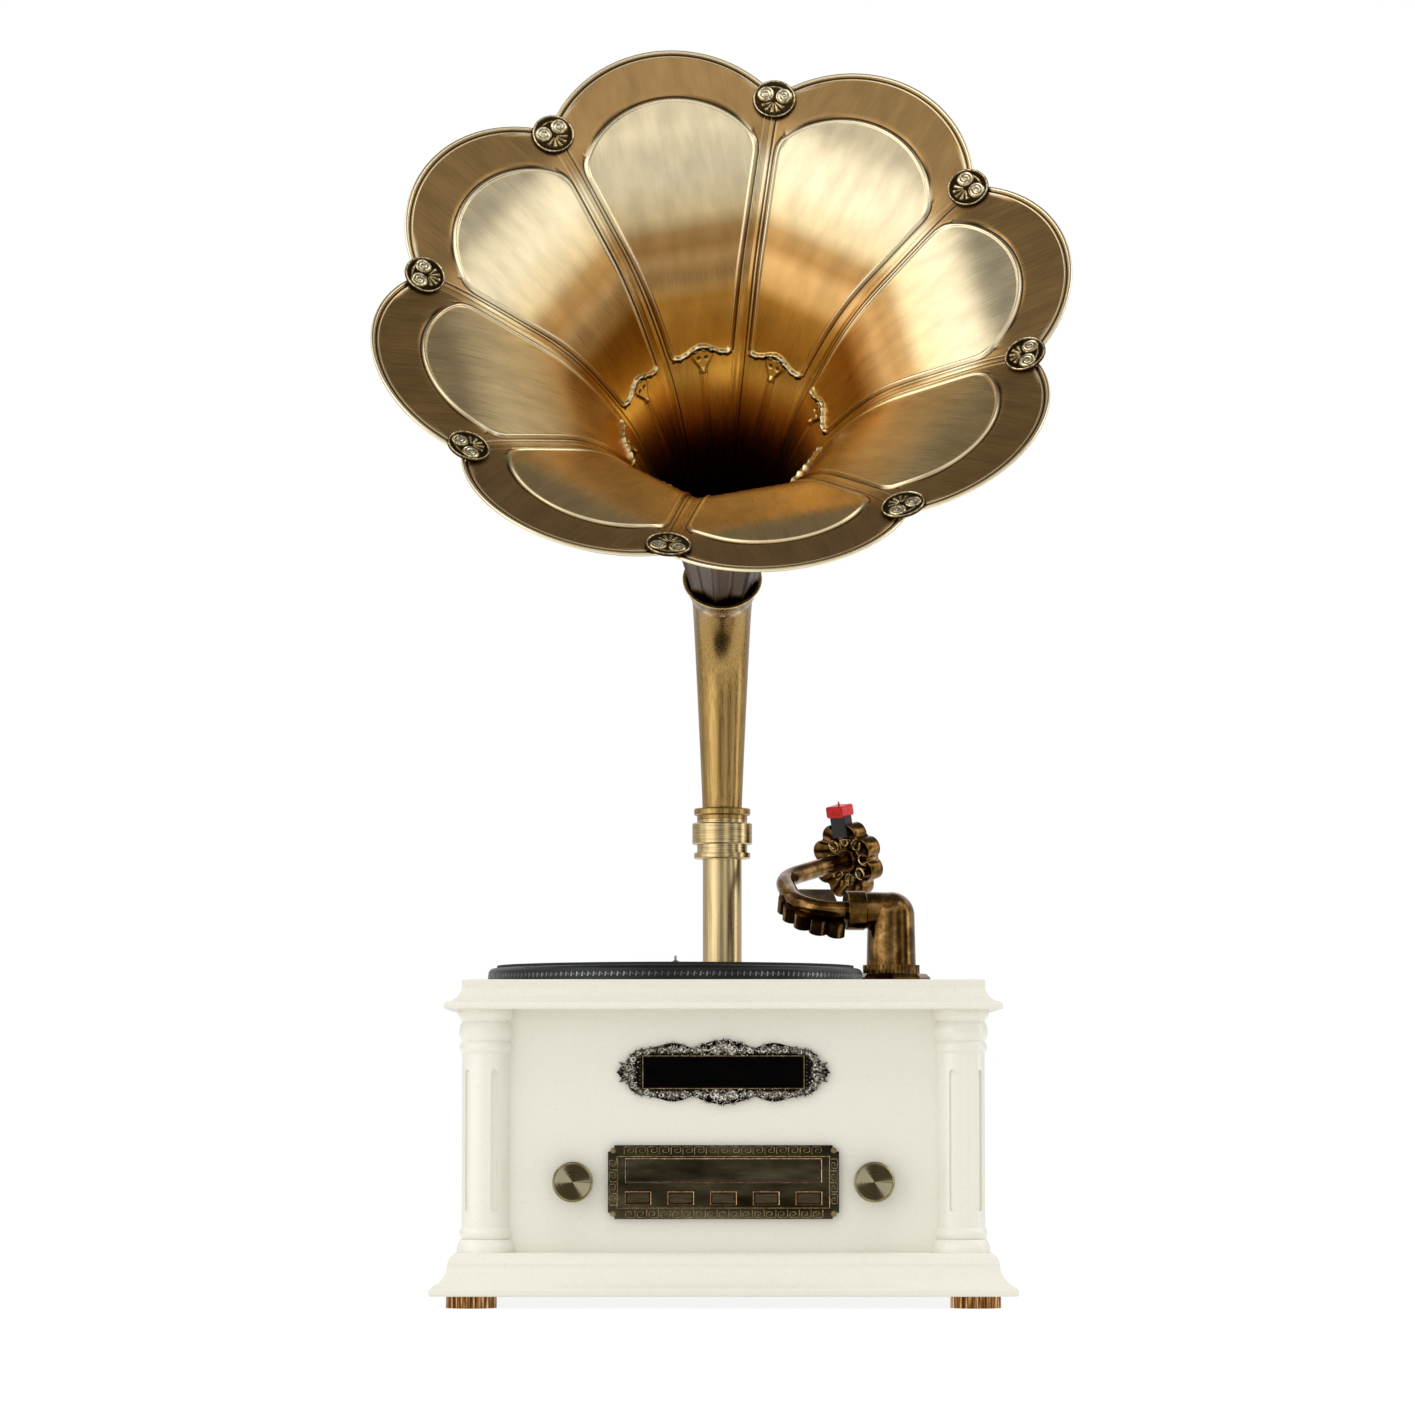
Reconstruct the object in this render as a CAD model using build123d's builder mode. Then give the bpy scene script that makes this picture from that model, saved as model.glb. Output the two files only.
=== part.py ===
# Horn record player with a CD drawer. Millimetres, +Z up, the front looks along -Y.
# The origin is on the floor, midway between the horn's front edge and the back of the base.
from build123d import *
from math import atan, cos, hypot, radians, sin, sqrt, tan
import os

os.makedirs("parts", exist_ok=True)

# Clearances
seat_gap = 0.1        # between pieces that sit in each other and never move
running_gap = 0.05    # between a shaft and its bore
sliding_gap = 0.4     # round buttons, drawer and other pieces that travel

# Feet and base board
foot_height = 9.5
foot_diameter = 39.0
foot_inset = 31.5     # edge of the base to the middle of a foot
foot_screw_diameter = 4.0
foot_screw_length = 22.0
base_width = 449.0
base_depth = 439.0
base_height = 32.5
base_flare = 19.0     # how far the base's foot stands out past its top edge
base_step_drop = 8.0
base_step_out = 5.4
base_lip_height = 5.0

# Cabinet body
body_width = 373.0
body_depth = 363.0
body_height = 186.0
panel_thickness = 12.0
column_inset = 4.0    # middle of a column to the body's faces
shaft_radius = 18.5
plinth_radius = 22.5
plinth_height = 10.0
base_torus_height = 8.8
base_torus_radius = 20.2
ring_torus_height = 9.4
ring_torus_radius = 20.4
big_torus_height = 15.0
big_torus_radius = 20.9
capital_height = 9.2
capital_radius = 21.8
flute_width = 5.6
flute_depth = 1.9
flute_margin = 12.5   # bare shaft below and above the flutes
flute_count = 5
flute_turn = 22.0     # first flute's angle from straight ahead, degrees

# Top board
top_width = 427.6
top_depth = 417.6
top_thickness = 23.0
top_edge_inset = 13.0
top_edge_height = 7.0
top_lip_height = 5.5

# Display
display_z = 179.9
bezel_width = 170.0
bezel_height = 55.0
bezel_thickness = 5.0
bezel_lobe_count = 26
bezel_lobe_radius = 6.0
window_width = 122.0
window_height = 23.0
window_thickness = 3.0
module_width = 116.0
module_height = 18.0
module_depth = 16.0

# Control panel, buttons and knobs
control_z = 95.8
control_width = 177.3
control_height = 56.5
control_thickness = 4.0
control_notch = 5.0
control_border = 8.0
control_border_rise = 0.8
screw_head_radius = 2.2
screw_head_height = 1.2
screw_shank_radius = 1.2
screw_length = 9.0
button_z = 83.4
button_pitch = 32.8
button_count = 5
button_width = 17.8
button_height = 8.0
button_stand_out = 1.2
button_stem_width = 9.0
button_stem_height = 4.0
button_travel = 2.0
switch_height = 3.4
switch_width = 6.0
board_thickness = 1.6
knob_x = 115.5
knob_z = 96.0
knob_radius = 15.5
knob_depth = 17.0
knob_gap = 1.0
knob_shaft_radius = 3.0
encoder_bush_radius = 4.6
encoder_body_width = 16.0
encoder_body_depth = 8.0

# CD drawer
door_z = 104.6
door_width = 149.0
door_height = 16.6
door_thickness = 3.2
tray_width = 136.0
tray_length = 150.0
tray_thickness = 7.0
disc_diameter = 120.0
disc_recess_depth = 3.0
chassis_width = 156.0
chassis_length = 172.0
chassis_height = 26.0
chassis_wall = 2.5
rail_height = 2.0

# Electronics inside
main_board_width = 150.0
main_board_depth = 100.0
main_board_x = 70.0
main_board_y = 60.0
standoff_inset = 6.0
standoff_height = 6.0
standoff_radius = 3.5
heat_sink_height = 32.0
heat_sink_width = 30.0
heat_sink_thickness = 4.0
fin_length = 24.0
fin_thickness = 1.6
fin_count = 6
capacitor_radius = 8.0
capacitor_height = 22.0
chip_width = 14.0
chip_thickness = 2.0
transformer_width = 62.0
transformer_depth = 52.0
transformer_height = 46.0
transformer_x = -110.0
transformer_y = 60.0
transformer_foot_width = 86.0
transformer_foot_thickness = 2.0

# Platter and its drive
platter_x = -38.0
platter_y = -5.0
platter_radius = 150.0
platter_gap = 1.5       # deck to the platter's rim
platter_height = 11.1
platter_web = 3.0
platter_rim = 9.0
platter_edge_radius = 4.5
mat_thickness = 2.2
mat_radius = 143.0
hub_radius = 14.0
shaft_in_hub_radius = 4.0
spindle_radius = 3.575
spindle_height = 3.4    # parallel part above the mat, which centres the record
spindle_tip_radius = 1.1
spindle_tip_height = 5.0
bearing_flange_radius = 16.0
bearing_sleeve_radius = 9.0
bearing_length = 38.0
belt_ring_radius = 92.0
belt_ring_wall = 4.0
belt_ring_drop = 6.0
belt_thickness = 1.0
belt_width = 4.0
pulley_radius = 6.0
pulley_distance = 118.0
pulley_direction = 135.0
motor_radius = 17.0
motor_height = 28.0
motor_shaft_radius = 1.0
motor_boss_radius = 7.0

# Tonearm
arm_x = 138.0
arm_y = 80.0
arm_axis_height = 62.2   # deck to the elbow's axis
arm_turn = 10.0          # the elbow points left, turned this far to the front
arm_flange_width = 59.0
arm_flange_height = 10.4
arm_sleeve_radius = 13.0
arm_nut_width = 34.0
arm_nut_height = 6.0
arm_shaft_radius = 9.0
arm_ring_radius = 23.3
arm_ring_height = 6.9
arm_column_radius = 20.2
arm_column_top_radius = 19.2
elbow_radius = 15.0
elbow_end = 22.0         # column axis to the end of the elbow
collar_radius = 16.2
collar_length = 15.7
journal_radius = 10.0
collar_end_wall = 1.8
arm_tube_radius = 7.5
arm_tube_wall = 1.5
arm_tube_rise = 20.0     # the bent tube lies in a plane that rises to the back
first_run = 6.0
first_bend_radius = 34.0
middle_run = 28.0
second_bend_radius = 44.6
second_bend_turn = 50.0
last_run = 34.0
head_distance = 33.0     # end of the last run to the middle of the head
tube_end_distance = 4.0  # the tube stops this far before the middle of the head
head_radius = 32.5
head_thickness = 16.0
head_lobe_count = 8
head_lobe_radius = 9.5
head_recess_depth = 9.0
head_recess_radius = 23.0
head_boss_radius = 10.5
cartridge_width = 16.0
cartridge_depth = 12.0
cartridge_start = 20.0   # from the middle of the head
cartridge_length = 17.0
stylus_block_width = 17.6
stylus_block_depth = 14.5
stylus_block_length = 9.5
stylus_tip_length = 3.5
stylus_tip_radius = 1.2
crest_radius = 48.0
crest_thickness = 12.5
crest_rise = 28.0
crest_drop = 5.7         # tube axis to the crest's upper face
crest_back = 32.0        # elbow axis to the crest's centre
crest_lobe_radius = 8.0

# Horn post
post_y = 172.0
post_radius = 16.25
post_wall = 1.6
post_socket_radius = 18.0
post_socket_height = 21.0
post_flange_width = 66.0
post_flange_depth = 40.0
post_flange_height = 3.0
post_screw_pitch = 54.0
collar_bottom = 108.5    # deck to the foot of the post's collar
ring_height = 5.0
ring_radius = 23.5
groove_radius = 21.0
groove_height = 7.0
band_height = 18.0
band_radius = 25.0
top_groove_height = 6.0
top_ring_height = 6.0
driver_radius = 18.8
driver_height = 18.0
spigot_radius = 19.0
spigot_length = 8.0

# Horn elbow and bell
horn_elevation = 34.0
bend_radius = 90.0
bend_start = 251.6       # deck to where the elbow starts to bend
elbow_wall = 1.6
elbow_start_radius = 16.5
elbow_middle_radius = 18.6
elbow_bend_radius = 21.0
elbow_top_radius = 25.2
socket_length = 22.0
socket_radius = 31.5
shoulder_height = 2.5    # ledge in the socket that the bell's neck stands on
shoulder_width = 2.8
bell_length = 321.0      # socket rim to the plane of the medallions
neck_radius = 22.6       # to the neck's inner corners, where two petals meet
throat_half = 25.2       # half the bore across its flats, at the socket's rim
border_half = 216.0      # outside this, each petal is a flat border that rises forwards
border_rise = 21.0
seam_radius = 243.0      # where the rims of two petals meet
petal_count = 8
petal_turn = 12.4        # first petal's middle from straight up, degrees
petal_reach = 58.1       # medallions' ring to a petal's tip, along its border
sheet_thickness = 1.2
rim_bead_radius = 1.6
seam_gap_angle = 0.1
medallion_ring = 239.5
medallion_width = 35.0
medallion_height = 33.0
medallion_thickness = 3.6
medallion_boss_radius = 6.2
medallion_boss_offset = 7.6

# Rear panel fittings
rear_plate_width = 118.0
rear_plate_height = 46.0
rear_plate_thickness = 1.6
rear_plate_z = 78.0
rear_opening_width = 100.0
rear_opening_height = 32.0
inlet_x = -34.0
inlet_width = 24.0
inlet_height = 13.0
inlet_depth = 20.0
inlet_cavity_width = 19.0
inlet_cavity_height = 9.0
inlet_cavity_depth = 12.0
inlet_pin_radius = 1.2
inlet_pin_length = 6.0
jack_x = 24.0
jack_pitch = 18.0
jack_radius = 4.15
jack_length = 8.0
jack_bore_radius = 1.65
jack_body_radius = 5.5
jack_body_depth = 10.0
jack_neck_radius = 5.0   # through the plate, with a low ring in front of it
jack_ring_height = 0.8
rocker_x = -2.0
rocker_width = 10.0
rocker_height = 18.0
rocker_depth = 6.0
rocker_stand_out = 2.6
rocker_tilt = 8.0        # switched off, its lower half stands out
rocker_pin_radius = 1.5
rocker_pin_length = 12.8
rim_lip = 1.2            # lip of the inlet and of the switch on the plate
switch_body_width = 17.0
switch_body_height = 24.0
switch_body_depth = 16.0

# Heights and places worked out from the sizes above
base_top = foot_height + base_height
body_top = base_top + body_height
deck_z = body_top + top_thickness
tilt = radians(horn_elevation)
horn_axis = Vector(0, -cos(tilt), sin(tilt))
rim_back = bend_radius * (1 - cos(radians(90) - tilt)) + socket_length * cos(tilt)
border = radians(border_rise)
petal_half = radians(180 / petal_count)
ring_half = medallion_ring * cos(petal_half)
seam_x = seam_radius * sin(petal_half)
seam_up = (seam_radius - medallion_ring) * cos(petal_half) / cos(border)
lobe_tall = petal_reach - seam_up
lobe_radius = (seam_x * seam_x + lobe_tall * lobe_tall) / (2 * lobe_tall)
lobe_centre = petal_reach - lobe_radius
lowest = radians(petal_turn)
lobe_forward = cos(lowest) * cos(border) * sin(tilt) + sin(border) * cos(tilt)
lobe_reach = lobe_radius * hypot(sin(lowest) * sin(tilt), lobe_forward)
lobe_reach += cos(lowest) * ring_half * sin(tilt) + lobe_centre * lobe_forward
rim_inset = (cos(border) * cos(tilt) - sin(border) * cos(lowest) * sin(tilt)) * sheet_thickness / 2
bell_front = bell_length * cos(tilt) + rim_back - post_y + lobe_reach - rim_inset + rim_bead_radius

# Tonearm: out of the elbow, and along the bent tube, whose plane rises to the back. The
# head's distances from the elbow's axis are added up along the tube.
arm_angle = radians(arm_turn)
rise = radians(arm_tube_rise)
turn_angle = radians(second_bend_turn)
elbow_out = Vector(-cos(arm_angle), -sin(arm_angle), 0)
arm_back = Vector(-sin(arm_angle), cos(arm_angle), 0)
tube_back = arm_back * cos(rise) + Vector(0, 0, sin(rise))
collar_start = elbow_end + 3 * seat_gap
collar_end = collar_start + collar_length
tube_start = collar_end - collar_end_wall
bend_offset = first_bend_radius - second_bend_radius * (1 - cos(turn_angle))
head_out = tube_start + first_run + bend_offset - (last_run + head_distance) * sin(turn_angle)
head_bend = first_bend_radius + second_bend_radius * sin(turn_angle)
head_back = head_bend + middle_run + (last_run + head_distance) * cos(turn_angle)
head_heading = tube_back * cos(turn_angle) - elbow_out * sin(turn_angle)
head_up = (Vector(0, 0, 1) - head_heading * head_heading.Z).normalized()
head_right = head_heading.cross(head_up)
lobe_ring_radius = head_radius - head_lobe_radius
lobe_angles = [radians((i + 0.5) * 360 / head_lobe_count) for i in range(head_lobe_count)]
lobe_back = max(head_right.Y * cos(angle) + head_up.Y * sin(angle) for angle in lobe_angles)
head_lean = sqrt(1 - head_heading.Y * head_heading.Y)
head_y = arm_y + elbow_out.Y * head_out + tube_back.Y * head_back
head_edge = lobe_back * lobe_ring_radius + head_lobe_radius * head_lean
back_reach = head_y + head_edge + head_heading.Y * head_thickness / 2
cabinet_y = (bell_front - back_reach) / 2


def level(z):
    return Plane((0, cabinet_y, z))


def facing_front(y):
    return Plane((0, y, 0), x_dir=(1, 0, 0), z_dir=(0, -1, 0))


def facing_back(y):
    return Plane((0, y, 0), x_dir=(-1, 0, 0), z_dir=(0, 1, 0))


def facing_side(x):
    return Plane((x, cabinet_y, 0), x_dir=(0, 1, 0), z_dir=(1, 0, 0))


panel_front_y = cabinet_y - body_depth / 2
panel_inner_y = panel_front_y + panel_thickness
back_outer_y = cabinet_y + body_depth / 2
back_inner_y = back_outer_y - panel_thickness


def save(part, name):
    part.label = name
    export_step(part, f"parts/{name}.step")


# A board with the same moulded edge on all four sides: one outline drawn across its
# width and one along its depth, and the board is what both outlines hold.
def moulded_board(width, depth, draw_outline):
    with BuildPart() as board:
        with BuildSketch(facing_front(cabinet_y)):
            with BuildLine():
                draw_outline(width / 2)
                mirror(about=Plane.YZ)
            make_face()
        extrude(amount=depth / 2, both=True)
        with BuildSketch(facing_side(0)):
            with BuildLine():
                draw_outline(depth / 2)
                mirror(about=Plane.YZ)
            make_face()
        extrude(amount=width / 2, both=True, mode=Mode.INTERSECT)
    return board.part


# Right half of the base: a step, a cove that sweeps outwards and a rounded lip
def base_outline(half):
    top_edge = half - base_flare
    step_edge = top_edge + base_step_out
    step_z = base_top - base_step_drop
    lip_z = foot_height + base_lip_height
    Line((0, base_top), (top_edge, base_top))
    RadiusArc((top_edge, base_top), (step_edge, step_z), base_step_drop * 1.4)
    Line((step_edge, step_z), (step_edge, step_z - 1.2))
    RadiusArc((step_edge, step_z - 1.2), (half - 1, lip_z + 1), -(step_z - lip_z) * 1.1)
    RadiusArc((half - 1, lip_z + 1), (half, lip_z - 1), base_lip_height / 2)
    Polyline((half, lip_z - 1), (half, foot_height + 1), (half - 1, foot_height), (0, foot_height))


# Right half of the top board: an upright edge, a cove and a rounded lip
def top_outline(half):
    top_edge = half - top_edge_inset
    cove_z = deck_z - top_edge_height
    lip_z = body_top + top_lip_height
    Polyline((0, deck_z), (top_edge - 1, deck_z), (top_edge, deck_z - 1), (top_edge, cove_z))
    RadiusArc((top_edge, cove_z), (half - 1.5, lip_z), -(cove_z - lip_z) * 1.25)
    RadiusArc((half - 1.5, lip_z), (half, lip_z - 2.5), top_lip_height / 2)
    Polyline((half, lip_z - 2.5), (half, body_top + 1), (half - 1, body_top), (0, body_top))


base_blank = moulded_board(base_width, base_depth, base_outline)

# Feet: turned brass discs with a knurled edge, each held by one screw
foot_x = base_width / 2 - foot_inset
foot_y = base_depth / 2 - foot_inset
knurl_count = 28
with BuildPart() as foot:
    with BuildSketch():
        Circle(foot_diameter / 2)
        with PolarLocations(foot_diameter / 2 + 0.6, knurl_count):
            Circle(1.3, mode=Mode.SUBTRACT)
        Circle(foot_screw_diameter / 2 + seat_gap, mode=Mode.SUBTRACT)
    extrude(amount=foot_height)
    with BuildSketch():
        Circle(foot_screw_diameter + seat_gap)
    extrude(amount=foot_height / 2, mode=Mode.SUBTRACT)

with BuildPart() as foot_screw:
    with BuildSketch(Plane.XY.offset(foot_height / 2 - 2 * screw_head_height)):
        Circle(foot_screw_diameter)
    extrude(amount=2 * screw_head_height)
    with BuildSketch(Plane.XY.offset(foot_height / 2)):
        Circle(foot_screw_diameter / 2)
    extrude(amount=foot_screw_length - foot_height / 2)


# Copies of one piece under the four corners of the base
def at_the_feet(piece):
    with BuildPart() as group:
        with Locations(level(0)):
            with GridLocations(2 * foot_x, 2 * foot_y, 2, 2):
                add(piece)
    return group.part


save(at_the_feet(foot.part), "feet")
save(at_the_feet(foot_screw.part), "foot_screws")

with BuildPart() as base_board:
    add(base_blank)
    with BuildSketch(level(foot_height)):
        with GridLocations(2 * foot_x, 2 * foot_y, 2, 2):
            Circle(foot_screw_diameter / 2 + seat_gap)
    extrude(amount=foot_screw_length - foot_height + seat_gap, mode=Mode.SUBTRACT)
save(base_board.part, "base_board")

# Body panels
slot_width = door_width + 2 * sliding_gap
slot_height = door_height + 2 * sliding_gap
tray_slot_height = tray_thickness + 2 * sliding_gap
tray_slot_width = tray_width + 2 * sliding_gap
display_centre = Location((0, display_z))
tray_centre = Location((0, door_z))
button_first_x = -button_pitch * (button_count - 1) / 2
button_centres = [Location((button_first_x + i * button_pitch, button_z)) for i in range(button_count)]
knob_centres = [Location((side * knob_x, knob_z)) for side in (-1, 1)]

with BuildPart() as front_panel:
    with BuildSketch(facing_front(panel_inner_y)):
        with Locations((0, base_top + body_height / 2)):
            Rectangle(body_width, body_height)
        with Locations(display_centre):
            Rectangle(module_width + 2 * seat_gap, module_height + 2 * seat_gap, mode=Mode.SUBTRACT)
        with Locations(tray_centre):
            Rectangle(tray_slot_width, tray_slot_height, mode=Mode.SUBTRACT)
        with Locations(*button_centres):
            Rectangle(button_width + 2 * sliding_gap, button_height + 2 * sliding_gap, mode=Mode.SUBTRACT)
        with Locations(*knob_centres):
            Circle(encoder_bush_radius + seat_gap, mode=Mode.SUBTRACT)
    extrude(amount=panel_thickness)
    with BuildSketch(facing_front(panel_front_y)):
        with Locations((0, control_z)):
            with GridLocations(control_width - control_border, control_height - control_border, 2, 2):
                Circle(screw_shank_radius + seat_gap)
    extrude(amount=-(screw_length - control_thickness), mode=Mode.SUBTRACT)
save(front_panel.part, "front_panel")

rear_centre = Location((0, rear_plate_z))
rear_screw_x = rear_plate_width - 2 * (screw_head_radius + 1)
rear_screw_y = rear_plate_height - 2 * (screw_head_radius + 1)
with BuildPart() as back_panel:
    with BuildSketch(facing_back(back_inner_y)):
        with Locations((0, base_top + body_height / 2)):
            Rectangle(body_width, body_height)
        with Locations(rear_centre):
            Rectangle(rear_opening_width, rear_opening_height, mode=Mode.SUBTRACT)
    extrude(amount=panel_thickness)
    with BuildSketch(facing_back(back_outer_y)):
        with Locations(rear_centre):
            with GridLocations(rear_screw_x, rear_screw_y, 2, 2):
                Circle(screw_shank_radius + seat_gap)
    extrude(amount=-(screw_length - rear_plate_thickness + seat_gap), mode=Mode.SUBTRACT)
save(back_panel.part, "back_panel")

side_length = body_depth - 2 * panel_thickness
for side, name in ((-1, "left_side_panel"), (1, "right_side_panel")):
    with BuildPart() as side_panel:
        with BuildSketch(level(base_top)):
            with Locations((side * (body_width - panel_thickness) / 2, 0)):
                Rectangle(panel_thickness, side_length)
        extrude(amount=body_height)
    save(side_panel.part, name)

# Corner columns: round plinth, turned shaft with five flutes, three tori and a capital.
# Each has a square notch that sits over the body's corner.
column_x = body_width / 2 - column_inset
column_y = body_depth / 2 - column_inset
shaft_bottom = plinth_height + base_torus_height
capital_bottom = body_height - capital_height
big_torus_bottom = capital_bottom - big_torus_height
ring_torus_bottom = big_torus_bottom - ring_torus_height
flute_length = ring_torus_bottom - shaft_bottom - 2 * flute_margin
capital_edge = 2.5


# A bulge on the shaft's outline between two heights
def bulge(bottom, height, radius):
    ThreePointArc((shaft_radius, bottom), (radius, bottom + height / 2), (shaft_radius, bottom + height))


with BuildPart() as column:
    with BuildSketch(Plane.XZ):
        with BuildLine():
            Polyline((0, body_height), (0, 0), (plinth_radius, 0))
            RadiusArc((plinth_radius, 0), (shaft_radius + 1, plinth_height), -plinth_height * 1.5)
            Line((shaft_radius + 1, plinth_height), (shaft_radius, plinth_height))
            bulge(plinth_height, base_torus_height, base_torus_radius)
            Line((shaft_radius, shaft_bottom), (shaft_radius, ring_torus_bottom))
            bulge(ring_torus_bottom, ring_torus_height, ring_torus_radius)
            bulge(big_torus_bottom, big_torus_height, big_torus_radius)
            RadiusArc((shaft_radius, capital_bottom), (capital_radius, body_height - capital_edge),
                      -capital_height * 1.2)
            Polyline((capital_radius, body_height - capital_edge), (capital_radius, body_height),
                     (0, body_height))
        make_face()
    revolve(axis=Axis.Z)
    for i in range(flute_count):
        angle = radians(flute_turn + i * 360 / flute_count)
        outwards = Vector(sin(angle), -cos(angle), 0)
        floor = outwards * (shaft_radius - flute_depth)
        middle = floor + Vector(0, 0, (shaft_bottom + ring_torus_bottom) / 2)
        with BuildSketch(Plane(middle, x_dir=(0, 0, 1), z_dir=outwards)):
            SlotOverall(flute_length, flute_width)
        extrude(amount=2 * flute_depth, mode=Mode.SUBTRACT)

mirrored_column = column.part.mirror(Plane.YZ)
for side, side_name in ((-1, "left"), (1, "right")):
    for end, end_name in ((-1, "front"), (1, "rear")):
        turned = side * end < 0
        with BuildPart() as corner_column:
            with Locations(Location((side * column_x, cabinet_y + end * column_y, base_top))):
                add(mirrored_column if turned else column.part, rotation=(0, 0, 180 if end > 0 else 0))
            with BuildSketch(level(base_top)):
                Rectangle(body_width, body_depth)
            extrude(amount=body_height, mode=Mode.SUBTRACT)
        save(corner_column.part, f"{end_name}_{side_name}_column")

# Top board with the holes for the platter's bearing, the motor, the tonearm and the wires
pulley_angle = radians(pulley_direction)
pulley_x = platter_x + pulley_distance * cos(pulley_angle)
pulley_y = platter_y + pulley_distance * sin(pulley_angle)
wire_hole_radius = 5.0
with BuildPart() as top_board:
    add(moulded_board(top_width, top_depth, top_outline))
    with BuildSketch(level(deck_z)):
        with Locations((platter_x, platter_y)):
            Circle(bearing_sleeve_radius + seat_gap)
        with Locations((pulley_x, pulley_y)):
            Circle(motor_boss_radius + seat_gap)
        with Locations((arm_x, arm_y)):
            Circle(arm_sleeve_radius + seat_gap)
        with Locations((0, post_y)):
            Circle(wire_hole_radius)
    extrude(amount=-top_thickness, mode=Mode.SUBTRACT)
    with BuildSketch(level(deck_z)):
        with Locations((0, post_y)):
            with GridLocations(post_screw_pitch, 0, 2, 1):
                Circle(screw_shank_radius + seat_gap)
    extrude(amount=-screw_length, mode=Mode.SUBTRACT)
save(top_board.part, "top_board")

# Display: a cast frame with a ring of lobes, the dark window and the module behind it
with BuildPart() as display_bezel:
    with BuildSketch(facing_front(panel_front_y)):
        with Locations(display_centre):
            Ellipse(bezel_width / 2 - 1.2 * bezel_lobe_radius, bezel_height / 2 - bezel_lobe_radius)
            for i in range(bezel_lobe_count):
                angle = radians((i + 0.5) * 360 / bezel_lobe_count)
                across = (bezel_width / 2 - 2.4 * bezel_lobe_radius) * cos(angle)
                up = (bezel_height / 2 - bezel_lobe_radius) * sin(angle)
                with Locations((across, up)):
                    Circle(bezel_lobe_radius)
            with Locations((0, 0)):
                Polygon((-bezel_width / 2, 0), (0, -bezel_height / 5),
                        (bezel_width / 2, 0), (0, bezel_height / 5))
            Rectangle(window_width + 2 * seat_gap, window_height + 2 * seat_gap, mode=Mode.SUBTRACT)
    extrude(amount=bezel_thickness)
    with BuildSketch(facing_front(panel_front_y - bezel_thickness)):
        with Locations(display_centre):
            Rectangle(window_width + 7, window_height + 7)
            Rectangle(window_width + 2 * seat_gap, window_height + 2 * seat_gap, mode=Mode.SUBTRACT)
    extrude(amount=1.0)
save(display_bezel.part, "display_bezel")

with BuildPart() as display_window:
    with BuildSketch(facing_front(panel_front_y)):
        with Locations(display_centre):
            Rectangle(window_width, window_height)
    extrude(amount=window_thickness)
save(display_window.part, "display_window")

with BuildPart() as display_module:
    with BuildSketch(facing_front(panel_front_y + seat_gap)):
        with Locations(display_centre):
            Rectangle(module_width, module_height)
    extrude(amount=-module_depth)
    with BuildSketch(facing_front(panel_front_y + seat_gap + module_depth)):
        with Locations(display_centre):
            Rectangle(module_width + 14, module_height + 10)
    extrude(amount=-board_thickness)
save(display_module.part, "display_module")


# Control panel: a plate with notched corners and a raised border
def control_outline(inset):
    Rectangle(control_width - 2 * inset, control_height - 2 * inset)
    with GridLocations(control_width - 2 * inset, control_height - 2 * inset, 2, 2):
        Circle(control_notch, mode=Mode.SUBTRACT)


screw_pitch_x = control_width - control_border
screw_pitch_z = control_height - control_border
with BuildPart() as control_panel:
    with BuildSketch(facing_front(panel_front_y)):
        with Locations((0, control_z)):
            control_outline(0)
    extrude(amount=control_thickness)
    with BuildSketch(facing_front(panel_front_y - control_thickness)):
        with Locations((0, control_z)):
            control_outline(0)
            Rectangle(control_width - 2 * control_border, control_height - 2 * control_border,
                      mode=Mode.SUBTRACT)
    extrude(amount=control_border_rise)
    with BuildSketch(facing_front(panel_front_y)):
        with Locations(tray_centre):
            Rectangle(slot_width, slot_height)
        with Locations(*button_centres):
            Rectangle(button_width + 2 * sliding_gap, button_height + 2 * sliding_gap)
        with Locations((0, control_z)):
            with GridLocations(screw_pitch_x, screw_pitch_z, 2, 2):
                Circle(screw_shank_radius + seat_gap)
    extrude(amount=control_thickness + control_border_rise, mode=Mode.SUBTRACT)
save(control_panel.part, "control_panel")


# Screws at the corners of a plate, whose outer face is the plane
def screws_in(plane, centre, pitch_x, pitch_y, rows):
    with BuildPart() as screws:
        with BuildSketch(plane):
            with Locations(centre):
                with GridLocations(pitch_x, pitch_y, 2, rows):
                    Circle(screw_head_radius)
        extrude(amount=screw_head_height)
        with BuildSketch(plane):
            with Locations(centre):
                with GridLocations(pitch_x, pitch_y, 2, rows):
                    Circle(screw_shank_radius)
        extrude(amount=-screw_length)
    return screws.part


# Five push buttons and the board with their switches
stem_end_y = panel_inner_y + 0.3
switch_face_y = stem_end_y + button_travel + 0.3
button_board_y = switch_face_y + switch_height
for i, centre in enumerate(button_centres):
    with BuildPart() as button:
        with BuildSketch(facing_front(panel_front_y - control_thickness - button_stand_out)):
            with Locations(centre):
                RectangleRounded(button_width, button_height, 1.0)
        extrude(amount=-(control_thickness + button_stand_out + panel_thickness / 2))
        with BuildSketch(facing_front(panel_front_y + panel_thickness / 2)):
            with Locations(centre):
                Rectangle(button_stem_width, button_stem_height)
        extrude(amount=-(stem_end_y - panel_front_y - panel_thickness / 2))
        chamfer(button.faces().sort_by(Axis.Y)[0].edges(), 0.6)
    save(button.part, f"button_{i + 1}")

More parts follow.
